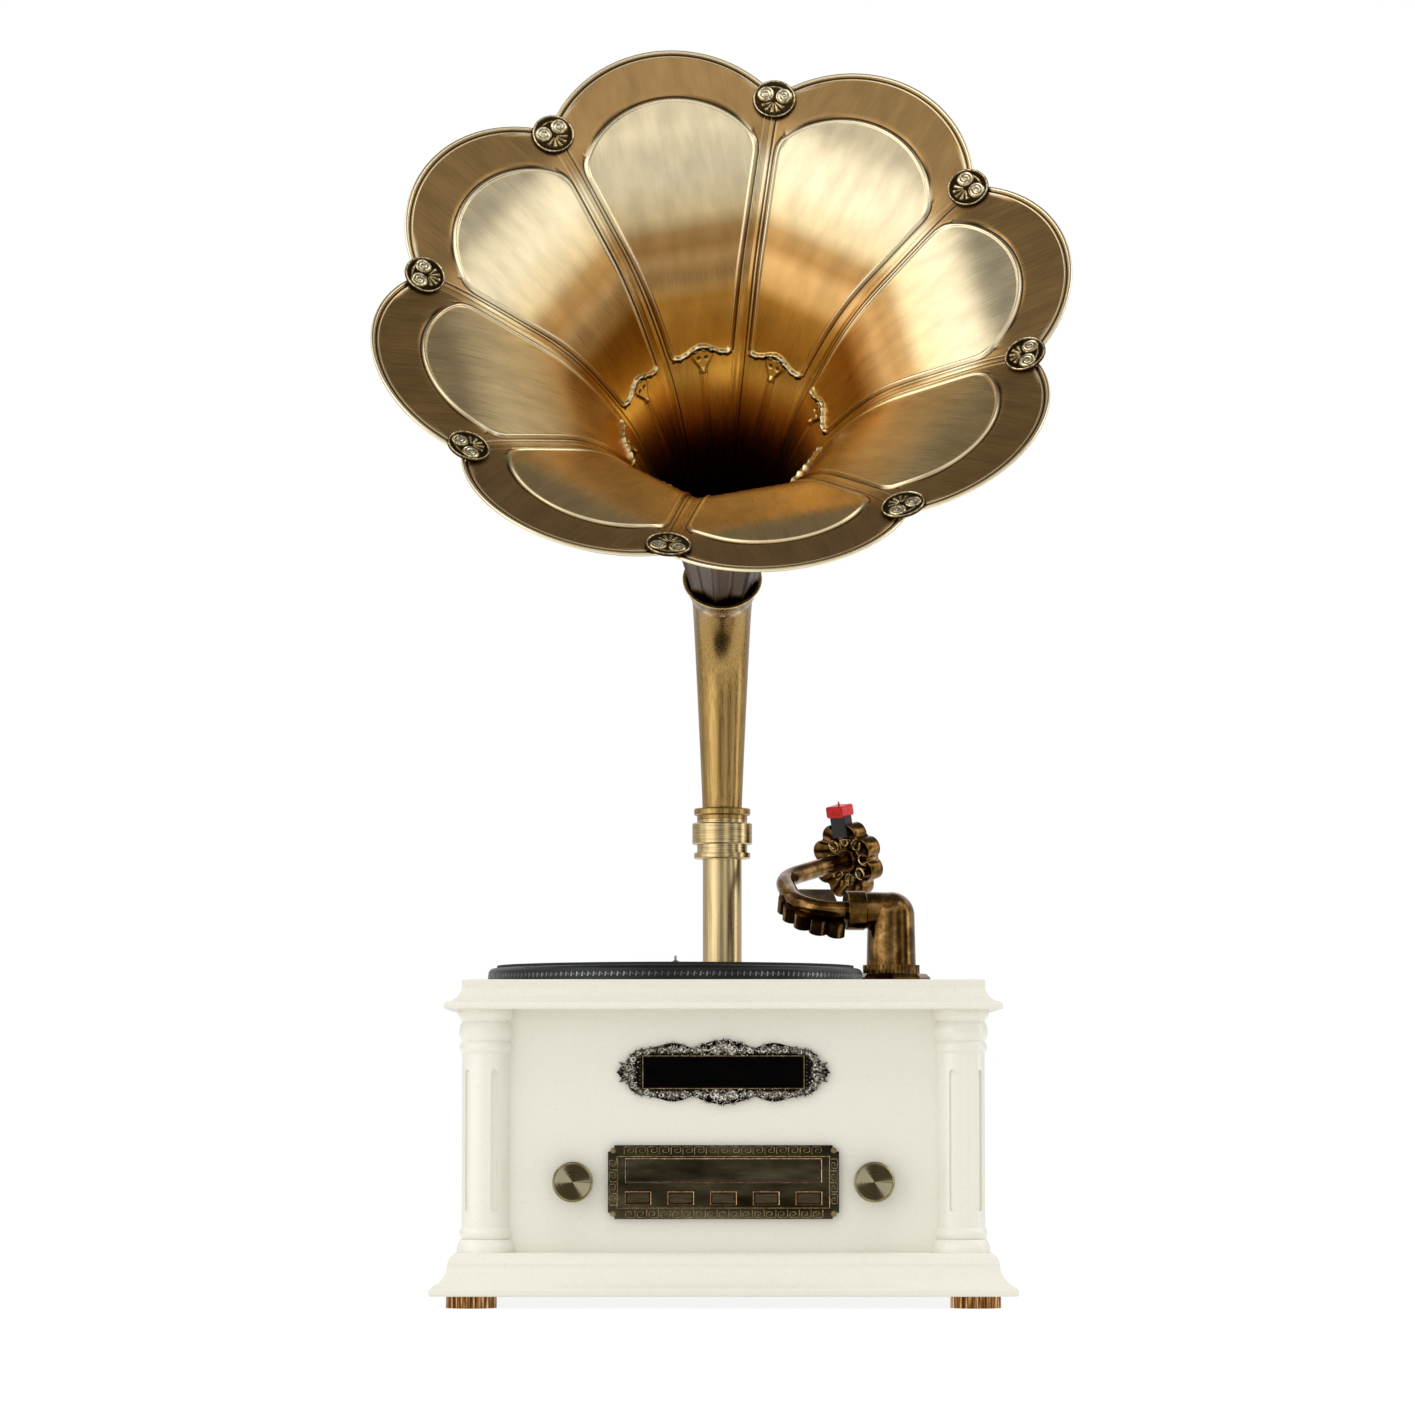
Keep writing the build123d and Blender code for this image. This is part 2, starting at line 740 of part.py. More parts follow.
button_board_width = button_pitch * (button_count - 1) + 2 * switch_width + 8
button_board_height = 13.0
board_post_radius = 2.5
with BuildPart() as button_board:
    with BuildSketch(facing_front(button_board_y)):
        with Locations((0, button_z)):
            Rectangle(button_board_width, button_board_height)
    extrude(amount=-board_thickness)
    with BuildSketch(facing_front(button_board_y)):
        with Locations(*button_centres):
            Rectangle(switch_width, switch_width)
    extrude(amount=switch_height)
    with BuildSketch(facing_front(button_board_y)):
        with Locations((0, button_z)):
            with GridLocations(button_pitch * (button_count - 2), 0, 2, 1):
                Circle(board_post_radius)
    extrude(amount=button_board_y - panel_inner_y)
save(button_board.part, "button_board")

# CD drawer: a tray with a door on its front, in a chassis fixed behind the front panel
door_back_y = panel_front_y - 0.4
tray_back_y = door_back_y + tray_length
disc_y = tray_back_y - disc_diameter / 2 - 8
with BuildPart() as cd_tray_door:
    with BuildSketch(facing_front(door_back_y)):
        with Locations(tray_centre):
            RectangleRounded(door_width, door_height, 0.8)
    extrude(amount=door_thickness)
    fillet(cd_tray_door.faces().sort_by(Axis.Y)[0].edges(), 0.6)
save(cd_tray_door.part, "cd_tray_door")

with BuildPart() as cd_tray:
    with BuildSketch(facing_front(door_back_y)):
        with Locations(tray_centre):
            Rectangle(tray_width, tray_thickness)
    extrude(amount=-tray_length)
    with BuildSketch(Plane((0, disc_y, door_z + tray_thickness / 2))):
        Circle(disc_diameter / 2 + 1)
    extrude(amount=-disc_recess_depth, mode=Mode.SUBTRACT)
    with BuildSketch(Plane((0, disc_y, door_z + tray_thickness / 2 - disc_recess_depth))):
        SlotOverall(disc_diameter * 0.5, disc_diameter * 0.3)
    extrude(amount=-(tray_thickness - disc_recess_depth), mode=Mode.SUBTRACT)
save(cd_tray.part, "cd_tray")

chassis_bottom = door_z - tray_thickness / 2 - sliding_gap - rail_height - chassis_wall
rail_width = (chassis_width - tray_width) / 2 - chassis_wall + 4
with BuildPart() as cd_chassis:
    with BuildSketch(facing_front(panel_inner_y)):
        with Locations((0, chassis_bottom + chassis_height / 2)):
            Rectangle(chassis_width, chassis_height)
            Rectangle(chassis_width - 2 * chassis_wall, chassis_height - 2 * chassis_wall,
                      mode=Mode.SUBTRACT)
        for side in (-1, 1):
            rail_x = side * (chassis_width / 2 - chassis_wall - rail_width / 2)
            with Locations((rail_x, chassis_bottom + chassis_wall + rail_height / 2)):
                Rectangle(rail_width, rail_height)
    extrude(amount=-chassis_length)
    with BuildSketch(facing_front(panel_inner_y + chassis_length)):
        with Locations((0, chassis_bottom + chassis_height / 2)):
            Rectangle(chassis_width, chassis_height)
    extrude(amount=-chassis_wall)
save(cd_chassis.part, "cd_chassis")

# Knobs with their shafts, and the encoders that the shafts turn in
knob_back_y = panel_front_y - knob_gap
encoder_depth = panel_thickness + encoder_body_depth
for side, name in ((-1, "volume_knob"), (1, "tuning_knob")):
    with BuildPart() as knob:
        with BuildSketch(facing_front(knob_back_y)):
            with Locations((side * knob_x, knob_z)):
                Circle(knob_radius)
        extrude(amount=knob_depth)
        front_edges = knob.faces().sort_by(Axis.Y)[0].edges()
        chamfer(front_edges, 1.2)
        with BuildSketch(facing_front(knob_back_y)):
            with Locations((side * knob_x, knob_z)):
                Circle(knob_shaft_radius)
        extrude(amount=-(knob_gap + encoder_depth - 2))
    save(knob.part, name)

with BuildPart() as rotary_encoders:
    with BuildSketch(facing_front(panel_front_y)):
        with Locations(*knob_centres):
            Circle(encoder_bush_radius)
    extrude(amount=-panel_thickness)
    with BuildSketch(facing_front(panel_inner_y)):
        with Locations(*knob_centres):
            Rectangle(encoder_body_width, encoder_body_width)
    extrude(amount=-encoder_body_depth)
    with BuildSketch(facing_front(panel_front_y)):
        with Locations(*knob_centres):
            Circle(knob_shaft_radius + running_gap)
    extrude(amount=-(encoder_depth - 1), mode=Mode.SUBTRACT)
save(rotary_encoders.part, "rotary_encoders")

# Main board on standoffs, with a heat sink and capacitors, and the mains transformer
with BuildPart() as main_board:
    with BuildSketch(level(base_top + standoff_height)):
        with Locations((main_board_x, main_board_y)):
            Rectangle(main_board_width, main_board_depth)
    extrude(amount=board_thickness)
    with BuildSketch(level(base_top)):
        with Locations((main_board_x, main_board_y)):
            with GridLocations(main_board_width - 2 * standoff_inset,
                               main_board_depth - 2 * standoff_inset, 2, 2):
                Circle(standoff_radius)
    extrude(amount=standoff_height)
    board_top = base_top + standoff_height + board_thickness
    with BuildSketch(level(board_top)):
        with Locations((main_board_x + main_board_width * 0.25, main_board_y)):
            Rectangle(heat_sink_width, heat_sink_thickness)
            with GridLocations(heat_sink_width / (fin_count - 1), 0, fin_count, 1):
                Rectangle(fin_thickness, fin_length)
    extrude(amount=heat_sink_height)
    with BuildSketch(level(board_top)):
        with Locations((main_board_x - main_board_width * 0.3, main_board_y + main_board_depth * 0.2)):
            with GridLocations(3 * capacitor_radius, 0, 2, 1):
                Circle(capacitor_radius)
    extrude(amount=capacitor_height)
    with BuildSketch(level(board_top)):
        with Locations((main_board_x - main_board_width * 0.2, main_board_y - main_board_depth * 0.2)):
            with GridLocations(2 * chip_width, 0, 3, 1):
                Rectangle(chip_width, chip_width)
    extrude(amount=chip_thickness)
save(main_board.part, "main_board")

with BuildPart() as transformer:
    with BuildSketch(level(base_top)):
        with Locations((transformer_x, transformer_y)):
            Rectangle(transformer_foot_width, transformer_depth * 0.4)
    extrude(amount=transformer_foot_thickness)
    with BuildSketch(level(base_top)):
        with Locations((transformer_x, transformer_y)):
            Rectangle(transformer_width, transformer_depth * 0.55)
    extrude(amount=transformer_height)
    with BuildSketch(level(base_top + transformer_height * 0.18)):
        with Locations((transformer_x, transformer_y)):
            Rectangle(transformer_width * 0.62, transformer_depth)
    extrude(amount=transformer_height * 0.64)
save(transformer.part, "transformer")

# Platter: a hollow disc with a hub and a belt ring below, its mat and its spindle
platter_bottom = deck_z + platter_gap
platter_top = platter_bottom + platter_height
web_bottom = platter_top - platter_web
hub_bottom = web_bottom - belt_ring_drop
mat_top = platter_top + mat_thickness
spindle_top = mat_top + spindle_height
with BuildPart() as platter:
    with BuildSketch(level(platter_bottom)):
        with Locations((platter_x, platter_y)):
            Circle(platter_radius)
    extrude(amount=platter_height)
    fillet(platter.faces().sort_by(Axis.Z)[-1].edges(), platter_edge_radius)
    with BuildSketch(level(web_bottom)):
        with Locations((platter_x, platter_y)):
            Circle(platter_radius - platter_rim)
    extrude(amount=-platter_height, mode=Mode.SUBTRACT)
    with BuildSketch(level(hub_bottom)):
        with Locations((platter_x, platter_y)):
            Circle(hub_radius)
            Circle(belt_ring_radius)
            Circle(belt_ring_radius - belt_ring_wall, mode=Mode.SUBTRACT)
            Circle(hub_radius)
    extrude(amount=belt_ring_drop)
    with BuildSketch(level(hub_bottom)):
        with Locations((platter_x, platter_y)):
            Circle(shaft_in_hub_radius + seat_gap / 2)
    extrude(amount=platter_height, mode=Mode.SUBTRACT)
save(platter.part, "platter")

with BuildPart() as platter_mat:
    with BuildSketch(level(platter_top)):
        with Locations((platter_x, platter_y)):
            Circle(mat_radius)
            Circle(shaft_in_hub_radius + seat_gap, mode=Mode.SUBTRACT)
    extrude(amount=mat_thickness)
save(platter_mat.part, "platter_mat")

spindle_seat_radius = 8.0
spindle_seat_height = 1.6
bearing_flange_top = hub_bottom - seat_gap - spindle_seat_height - 0.3
bearing_bottom = bearing_flange_top - bearing_length
with BuildPart() as platter_spindle:
    with BuildSketch(facing_side(platter_x)):
        with BuildLine():
            Polyline((0, bearing_bottom + 2.3), (shaft_in_hub_radius, bearing_bottom + 2.3),
                     (shaft_in_hub_radius, hub_bottom - seat_gap - spindle_seat_height),
                     (spindle_seat_radius, hub_bottom - seat_gap - spindle_seat_height),
                     (spindle_seat_radius, hub_bottom - seat_gap),
                     (shaft_in_hub_radius, hub_bottom - seat_gap),
                     (shaft_in_hub_radius, mat_top), (spindle_radius, mat_top),
                     (spindle_radius, spindle_top), (spindle_tip_radius, spindle_top + 1.5),
                     (spindle_tip_radius, spindle_top + spindle_tip_height),
                     (0, spindle_top + spindle_tip_height), (0, bearing_bottom + 2.3))
        make_face()
    revolve(axis=Axis((platter_x, cabinet_y, 0), (0, 0, 1)))
spindle_part = platter_spindle.part.moved(Location((0, platter_y, 0)))
save(spindle_part, "platter_spindle")

with BuildPart() as platter_bearing:
    with BuildSketch(level(deck_z)):
        with Locations((platter_x, platter_y)):
            Circle(bearing_flange_radius)
    extrude(amount=bearing_flange_top - deck_z)
    with BuildSketch(level(bearing_bottom)):
        with Locations((platter_x, platter_y)):
            Circle(bearing_sleeve_radius)
    extrude(amount=bearing_length)
    with BuildSketch(level(bearing_bottom + 2)):
        with Locations((platter_x, platter_y)):
            Circle(shaft_in_hub_radius + running_gap)
    extrude(amount=bearing_length, mode=Mode.SUBTRACT)
save(platter_bearing.part, "platter_bearing")

# Motor under the deck, its pulley inside the platter and the belt round both
belt_bottom = hub_bottom + (belt_ring_drop - belt_width) / 2
pulley_bottom = belt_bottom - 0.5
pulley_top = belt_bottom + belt_width + 0.5
with BuildPart() as platter_motor:
    with BuildSketch(level(body_top)):
        with Locations((pulley_x, pulley_y)):
            Circle(motor_radius)
    extrude(amount=-motor_height)
    with BuildSketch(level(body_top)):
        with Locations((pulley_x, pulley_y)):
            Circle(motor_boss_radius)
    extrude(amount=top_thickness)
    with BuildSketch(level(deck_z)):
        with Locations((pulley_x, pulley_y)):
            Circle(motor_shaft_radius + running_gap)
    extrude(amount=-top_thickness - motor_height / 2, mode=Mode.SUBTRACT)
save(platter_motor.part, "platter_motor")

with BuildPart() as motor_pulley:
    with BuildSketch(level(pulley_bottom)):
        with Locations((pulley_x, pulley_y)):
            Circle(pulley_radius)
    extrude(amount=pulley_top - pulley_bottom)
    with BuildSketch(level(pulley_bottom)):
        with Locations((pulley_x, pulley_y)):
            Circle(motor_shaft_radius)
    extrude(amount=-(pulley_bottom - body_top + motor_height / 2 - 1))
save(motor_pulley.part, "motor_pulley")


# The outline of a belt that clears both wheels by a gap
def belt_loop(gap):
    with BuildSketch() as loop:
        with BuildLine():
            CenterArc((platter_x, platter_y), belt_ring_radius + gap, 0, 360)
            CenterArc((pulley_x, pulley_y), pulley_radius + gap, 0, 360)
        make_hull()
    return loop.sketch


belt_gap = 0.3
belt_shape = belt_loop(belt_gap + belt_thickness) - belt_loop(belt_gap)
drive_belt = extrude(Location((0, cabinet_y, belt_bottom)) * belt_shape, belt_width)
save(drive_belt, "drive_belt")

# Tonearm. Its elbow points left and a little to the front, and the arm flips about the
# elbow's axis, from its rest behind the elbow to the record in front of it.
arm_pivot = Vector(arm_x, cabinet_y + arm_y, deck_z + arm_axis_height)
flange_top = deck_z + arm_flange_height
arm_ring_bottom = flange_top + 3 * seat_gap
arm_ring_top = arm_ring_bottom + arm_ring_height
arm_sleeve_bottom = body_top - arm_nut_height - 1
flange_chamfer = 3.0
with BuildPart() as arm_base:
    with BuildSketch(level(deck_z)):
        with Locations((arm_x, arm_y)):
            RegularPolygon(arm_flange_width / 2, 8, major_radius=False)
    extrude(amount=arm_flange_height)
    chamfer(arm_base.faces().sort_by(Axis.Z)[-1].edges(), flange_chamfer)
    with BuildSketch(level(arm_sleeve_bottom)):
        with Locations((arm_x, arm_y)):
            Circle(arm_sleeve_radius)
    extrude(amount=deck_z - arm_sleeve_bottom)
    with BuildSketch(level(arm_sleeve_bottom)):
        with Locations((arm_x, arm_y)):
            Circle(arm_shaft_radius + running_gap)
    extrude(amount=flange_top - arm_sleeve_bottom, mode=Mode.SUBTRACT)
save(arm_base.part, "arm_base")

with BuildPart() as arm_base_nut:
    with BuildSketch(level(body_top)):
        with Locations((arm_x, arm_y)):
            RegularPolygon(arm_nut_width / 2, 6, major_radius=False)
            Circle(arm_sleeve_radius + seat_gap, mode=Mode.SUBTRACT)
    extrude(amount=-arm_nut_height)
save(arm_base_nut.part, "arm_base_nut")

pleat_count = 24
pleat_radius = 2.0
shaft_end_gap = 2.0
arm_foot = Vector(arm_x, cabinet_y + arm_y, 0)
dome_z = arm_pivot.Z - 4.0
with BuildPart() as arm_column:
    with BuildSketch(level(arm_ring_bottom)):
        with Locations((arm_x, arm_y)):
            Circle(arm_ring_radius)
            with PolarLocations(arm_ring_radius + 0.4 * pleat_radius, pleat_count):
                Circle(pleat_radius, mode=Mode.SUBTRACT)
    extrude(amount=arm_ring_height)
    with BuildSketch(Plane(arm_foot, x_dir=(1, 0, 0), z_dir=(0, -1, 0))):
        with BuildLine():
            Polyline((0, arm_ring_top), (arm_column_radius, arm_ring_top), (arm_column_top_radius, dome_z))
            CenterArc((0, dome_z), arm_column_top_radius, 0, 90)
            Line((0, dome_z + arm_column_top_radius), (0, arm_ring_top))
        make_face()
    revolve(axis=Axis(arm_foot, (0, 0, 1)))
    with BuildSketch(Plane(arm_pivot, z_dir=elbow_out)):
        Circle(elbow_radius)
    extrude(amount=elbow_end)
    with BuildSketch(Plane(arm_pivot, z_dir=elbow_out)):
        Circle(journal_radius)
    extrude(amount=elbow_end + collar_length - collar_end_wall)
    with BuildSketch(level(arm_sleeve_bottom + shaft_end_gap)):
        with Locations((arm_x, arm_y)):
            Circle(arm_shaft_radius)
    extrude(amount=arm_ring_bottom - arm_sleeve_bottom - shaft_end_gap)
save(arm_column.part, "arm_column")

set_screw_radius = 1.8
collar_chamfer = 0.8
with BuildPart() as arm_collar:
    with BuildSketch(Plane(arm_pivot + elbow_out * collar_start, z_dir=elbow_out)):
        Circle(collar_radius)
    extrude(amount=collar_length)
    chamfer(arm_collar.edges().filter_by(GeomType.CIRCLE), collar_chamfer)
    with BuildSketch(Plane(arm_pivot + elbow_out * collar_start, z_dir=elbow_out)):
        Circle(journal_radius + running_gap)
    extrude(amount=collar_length - collar_end_wall, mode=Mode.SUBTRACT)
    with BuildSketch(Plane(arm_pivot + elbow_out * collar_end, z_dir=elbow_out)):
        Circle(arm_tube_radius + seat_gap)
    extrude(amount=-collar_end_wall, mode=Mode.SUBTRACT)
    screw_out = (arm_back * -0.6 - Vector(0, 0, 0.8)).normalized()
    screw_foot = arm_pivot + elbow_out * (collar_start + collar_length * 0.45) + screw_out * journal_radius
    with BuildSketch(Plane(screw_foot, z_dir=screw_out)):
        Circle(set_screw_radius)
    extrude(amount=collar_radius - journal_radius + 1, mode=Mode.SUBTRACT)
save(arm_collar.part, "arm_collar")

# The bent tube: out of the collar, round to the back and in towards the head
tube_plane = Plane(arm_pivot, x_dir=elbow_out, z_dir=elbow_out.cross(tube_back))
with BuildLine(tube_plane) as arm_path:
    straight = Line((tube_start, 0), (tube_start + first_run, 0))
    bend = JernArc(straight @ 1, straight % 1, first_bend_radius, 90)
    run = Line(bend @ 1, bend @ 1 + tube_back * middle_run)
    turn = JernArc(run @ 1, run % 1, second_bend_radius, second_bend_turn)
    tail = Line(turn @ 1, turn @ 1 + (turn % 1) * (last_run + head_distance - tube_end_distance))
head_middle = arm_pivot + elbow_out * head_out + tube_back * head_back


def swept_along_arm(radius, wall=0):
    with BuildPart() as swept:
        with BuildSketch(Plane(straight @ 0, z_dir=elbow_out)):
            Circle(radius)
            if wall:
                Circle(radius - wall, mode=Mode.SUBTRACT)
        sweep(path=arm_path.wires()[0])
    return swept.part


save(swept_along_arm(arm_tube_radius, arm_tube_wall), "arm_tube")

# Crest: a scalloped fan under the bend, which balances the arm
crest_slope = radians(crest_rise)
crest_backwards = arm_back * cos(crest_slope) + Vector(0, 0, sin(crest_slope))
crest_normal = elbow_out.cross(crest_backwards)
crest_left = collar_end + 1.5
crest_first_lobe = -81.0
crest_lobe_pitch = 21.0
crest_lobe_count = 7
crest_centre = arm_pivot + elbow_out * crest_left + crest_backwards * crest_back + crest_normal * crest_drop
crest_plane = Plane(crest_centre, x_dir=elbow_out, z_dir=crest_normal)
with BuildPart() as arm_counterweight:
    with BuildSketch(crest_plane):
        Circle(crest_radius - crest_lobe_radius)
        for i in range(crest_lobe_count):
            lobe_angle = crest_first_lobe + crest_lobe_pitch * i
            with PolarLocations(crest_radius - crest_lobe_radius, 1, start_angle=lobe_angle):
                Circle(crest_lobe_radius)
        with Locations((-crest_radius, 0)):
            Rectangle(2 * crest_radius, 2 * crest_radius, mode=Mode.SUBTRACT)
        with Locations((0, crest_radius)):
            Rectangle(2 * crest_radius, crest_radius * 1.2, mode=Mode.SUBTRACT)
    extrude(amount=crest_thickness)
    add(swept_along_arm(arm_tube_radius + seat_gap), mode=Mode.SUBTRACT)
save(arm_counterweight.part, "arm_counterweight")

# Head: a thick scalloped disc, dished on the side where the tube enters
head_plane = Plane(head_middle, x_dir=head_right, z_dir=head_heading * -1)
head_back_wall = 2.0
with BuildPart() as arm_head:
    with BuildSketch(head_plane.offset(-head_thickness / 2)):
        Circle(head_radius - head_lobe_radius * 0.55)
        with PolarLocations(lobe_ring_radius, head_lobe_count, start_angle=180 / head_lobe_count):
            Circle(head_lobe_radius)
    extrude(amount=head_thickness)
    with BuildSketch(head_plane.offset(head_thickness / 2)):
        Circle(head_recess_radius)
    extrude(amount=-head_recess_depth, mode=Mode.SUBTRACT)
    with BuildSketch(head_plane.offset(-head_thickness / 2)):
        Circle(head_boss_radius)
    extrude(amount=head_thickness - head_back_wall)
    with BuildSketch(head_plane.offset(head_thickness / 2)):
        with Locations((0, head_radius)):
            Rectangle(cartridge_width + 2 * seat_gap, 2 * (head_radius - cartridge_start + seat_gap))
    extrude(amount=-(cartridge_depth + seat_gap), mode=Mode.SUBTRACT)
    with BuildSketch(head_plane.offset(tube_end_distance - seat_gap)):
        Circle(arm_tube_radius + seat_gap)
    extrude(amount=head_thickness, mode=Mode.SUBTRACT)
save(arm_head.part, "arm_head")

cartridge_plane = head_plane.offset(head_thickness / 2 - cartridge_depth / 2)
with BuildPart() as cartridge:
    with BuildSketch(cartridge_plane.offset(-cartridge_depth / 2)):
        with Locations((0, cartridge_start + cartridge_length / 2)):
            Rectangle(cartridge_width, cartridge_length)
    extrude(amount=cartridge_depth)
    chamfer(cartridge.edges().filter_by(Axis(cartridge_plane.origin, cartridge_plane.y_dir)), 1.5)
save(cartridge.part, "cartridge")

stylus_start = cartridge_start + cartridge_length + seat_gap
stylus_end = stylus_start + stylus_block_length
with BuildPart() as stylus:
    with BuildSketch(cartridge_plane.offset(-stylus_block_depth / 2)):
        with Locations((0, stylus_start + stylus_block_length / 2)):
            Rectangle(stylus_block_width, stylus_block_length)
    extrude(amount=stylus_block_depth)
    chamfer(stylus.edges().filter_by(Axis(cartridge_plane.origin, cartridge_plane.z_dir)), 1.2)
    with BuildSketch(Plane(cartridge_plane.origin + head_up * stylus_end, z_dir=head_up)):
        Circle(stylus_tip_radius)
    extrude(amount=stylus_tip_length, taper=12)
save(stylus.part, "stylus")

# Horn post: a socket on the deck, the tube, and a turned collar that carries the horn
post_base_z = deck_z + 2
post_top = deck_z + collar_bottom + ring_height
with BuildPart() as post_socket:
    with BuildSketch(level(deck_z)):
        with Locations((0, post_y)):
            RectangleRounded(post_flange_width, post_flange_depth, 8)
    extrude(amount=post_flange_height)
    with BuildSketch(level(deck_z)):
        with Locations((0, post_y)):
            Circle(post_socket_radius)
    extrude(amount=post_socket_height)
    with BuildSketch(level(post_base_z)):
        with Locations((0, post_y)):
            Circle(post_radius + seat_gap)
    extrude(amount=post_socket_height, mode=Mode.SUBTRACT)
    with BuildSketch(level(deck_z)):
        with Locations((0, post_y)):
            Circle(wire_hole_radius)
            with GridLocations(post_screw_pitch, 0, 2, 1):
                Circle(screw_shank_radius + seat_gap)
    extrude(amount=post_flange_height, mode=Mode.SUBTRACT)
save(post_socket.part, "post_socket")

with BuildPart() as post_tube:
    with BuildSketch(level(post_base_z)):
        with Locations((0, post_y)):
            Circle(post_radius)
            Circle(post_radius - post_wall, mode=Mode.SUBTRACT)
    extrude(amount=post_top - post_base_z)
save(post_tube.part, "post_tube")

# Collar: two rings and a band with grooves between, seen from the side as one outline
post_axis = Axis((0, cabinet_y + post_y, 0), (0, 0, 1))
post_side = Plane((0, cabinet_y + post_y, 0), x_dir=(1, 0, 0), z_dir=(0, -1, 0))
collar_z = deck_z + collar_bottom
band_z = collar_z + ring_height + groove_height
collar_top = band_z + band_height + top_groove_height / 2
driver_bottom = post_top + seat_gap
driver_top = driver_bottom + driver_height
driver_lip = 3.0
driver_lip_height = 5.0
driver_cone_radius = 14.8
with BuildPart() as post_collar:
    with BuildSketch(post_side):
        with BuildLine():
            Polyline((post_radius + seat_gap, collar_z), (ring_radius - 1, collar_z),
                     (ring_radius, collar_z + 1),
                     (ring_radius, collar_z + ring_height), (groove_radius, collar_z + ring_height),
                     (groove_radius, band_z), (band_radius - 1, band_z), (band_radius, band_z + 1),
                     (band_radius, band_z + band_height - 1), (band_radius - 1, band_z + band_height),
                     (groove_radius, band_z + band_height), (groove_radius, collar_top),
                     (spigot_radius + running_gap, collar_top), (spigot_radius + running_gap, post_top),
                     (post_radius + seat_gap, post_top), (post_radius + seat_gap, collar_z))
        make_face()
    revolve(axis=post_axis)
save(post_collar.part, "post_collar")

with BuildPart() as horn_driver:
    with BuildSketch(post_side):
        with BuildLine():
            Polyline((0, driver_bottom), (driver_radius - driver_lip, driver_bottom),
                     (driver_radius - driver_lip, driver_top - driver_lip_height),
                     (driver_radius, driver_top - driver_lip_height), (driver_radius, driver_top),
                     (driver_cone_radius, driver_top),
                     (driver_cone_radius / 2, driver_top - driver_lip_height),
                     (0, driver_top - driver_lip_height), (0, driver_bottom))
        make_face()
    revolve(axis=post_axis)
save(horn_driver.part, "horn_driver")

# Horn elbow: a tapering tube that bends forwards, with a flared socket on its end
elbow_foot = collar_top + 3 * seat_gap
top_ring_z = elbow_foot + top_groove_height / 2
elbow_bottom = top_ring_z + top_ring_height
bend_z = deck_z + bend_start
bend_turn = 90 - horn_elevation
post_point = Vector(0, cabinet_y + post_y, 0)


# Plane across the elbow's path at an angle round its bend
def across_bend(degrees):
    angle = radians(degrees)
    along = Vector(0, -bend_radius * (1 - cos(angle)), bend_z + bend_radius * sin(angle))
    return Plane(post_point + along, x_dir=(1, 0, 0), z_dir=(0, -sin(angle), cos(angle)))


bend_end = across_bend(bend_turn)
rim_plane = bend_end.offset(socket_length)
horn_plane = rim_plane.offset(bell_length)
upright = Plane(post_point + Vector(0, 0, elbow_bottom), x_dir=(1, 0, 0), z_dir=(0, 0, 1))
middle_z = (elbow_bottom + bend_z) / 2
elbow_sections = [
    (upright, elbow_start_radius),
    (upright.offset(middle_z - elbow_bottom), elbow_middle_radius),
    (across_bend(0), elbow_bend_radius),
    (across_bend(bend_turn * 0.5), (elbow_bend_radius + elbow_top_radius) / 2),
    (bend_end, elbow_top_radius),
]


def elbow_body(smaller):
    with BuildPart() as body:
        for plane, radius in elbow_sections:
            with BuildSketch(plane):
                Circle(radius - smaller)
        loft()
    return body.part


with BuildPart() as horn_elbow:
    add(elbow_body(0))
    with BuildSketch(bend_end):
        Circle(elbow_top_radius)
    with BuildSketch(rim_plane):
        Circle(socket_radius)
    loft()
    with BuildSketch(post_side):
        with BuildLine():
            Polyline((0, elbow_foot - spigot_length), (spigot_radius, elbow_foot - spigot_length),
                     (spigot_radius, elbow_foot), (groove_radius, elbow_foot), (groove_radius, top_ring_z),
                     (ring_radius - 1, top_ring_z), (ring_radius, top_ring_z + 1),
                     (ring_radius, elbow_bottom - 1), (ring_radius - 1, elbow_bottom), (0, elbow_bottom),
                     (0, elbow_foot - spigot_length))
        make_face()
    revolve(axis=post_axis)
    add(elbow_body(elbow_wall), mode=Mode.SUBTRACT)
    with BuildSketch(bend_end.offset(shoulder_height)):
        Circle(neck_radius + sheet_thickness + seat_gap)
    with BuildSketch(rim_plane):
        Circle(socket_radius - elbow_wall)
    loft(mode=Mode.SUBTRACT)
    with BuildSketch(bend_end):
        Circle(neck_radius + sheet_thickness - shoulder_width)
    extrude(amount=2 * shoulder_height, mode=Mode.SUBTRACT)
    with BuildSketch(upright):
        Circle(elbow_start_radius - elbow_wall)
    extrude(amount=-(elbow_bottom - elbow_foot + spigot_length), mode=Mode.SUBTRACT)
save(horn_elbow.part, "horn_elbow")

# Bell: eight sheet petals round the horn's axis, drawn in the bell's own frame, where
# z = 0 is the plane of the medallions and -z runs down the throat. A petal is bent along
# its length only: straight across, and folded against its neighbours at the seams.
neck_end = bell_length + socket_length - shoulder_height - seat_gap
neck_half = (neck_radius + sheet_thickness) * cos(petal_half) - sheet_thickness
border_depth = (ring_half - border_half) * tan(border)
bell_curve = [(border_half, border_depth), (200, 10), (176, 26), (150, 45), (128, 62), (110, 81),
              (96, 101), (83, 123), (72, 144), (62, 168), (50, 206), (40, 249), (32.5, 285),
              (throat_half, bell_length), (neck_half, neck_end)]


# The same curve moved outwards, square to itself
def moved_out(points, distance):
    moved = [(points[0][0] + distance * sin(border), points[0][1] + distance * cos(border))]
    for before, here, after in zip(points, points[1:], points[2:]):
        run_r = after[0] - before[0]
        run_t = after[1] - before[1]
        span = hypot(run_r, run_t)
        moved.append((here[0] + distance * run_t / span, here[1] - distance * run_r / span))
    return moved + [(points[-1][0] + distance, points[-1][1])]


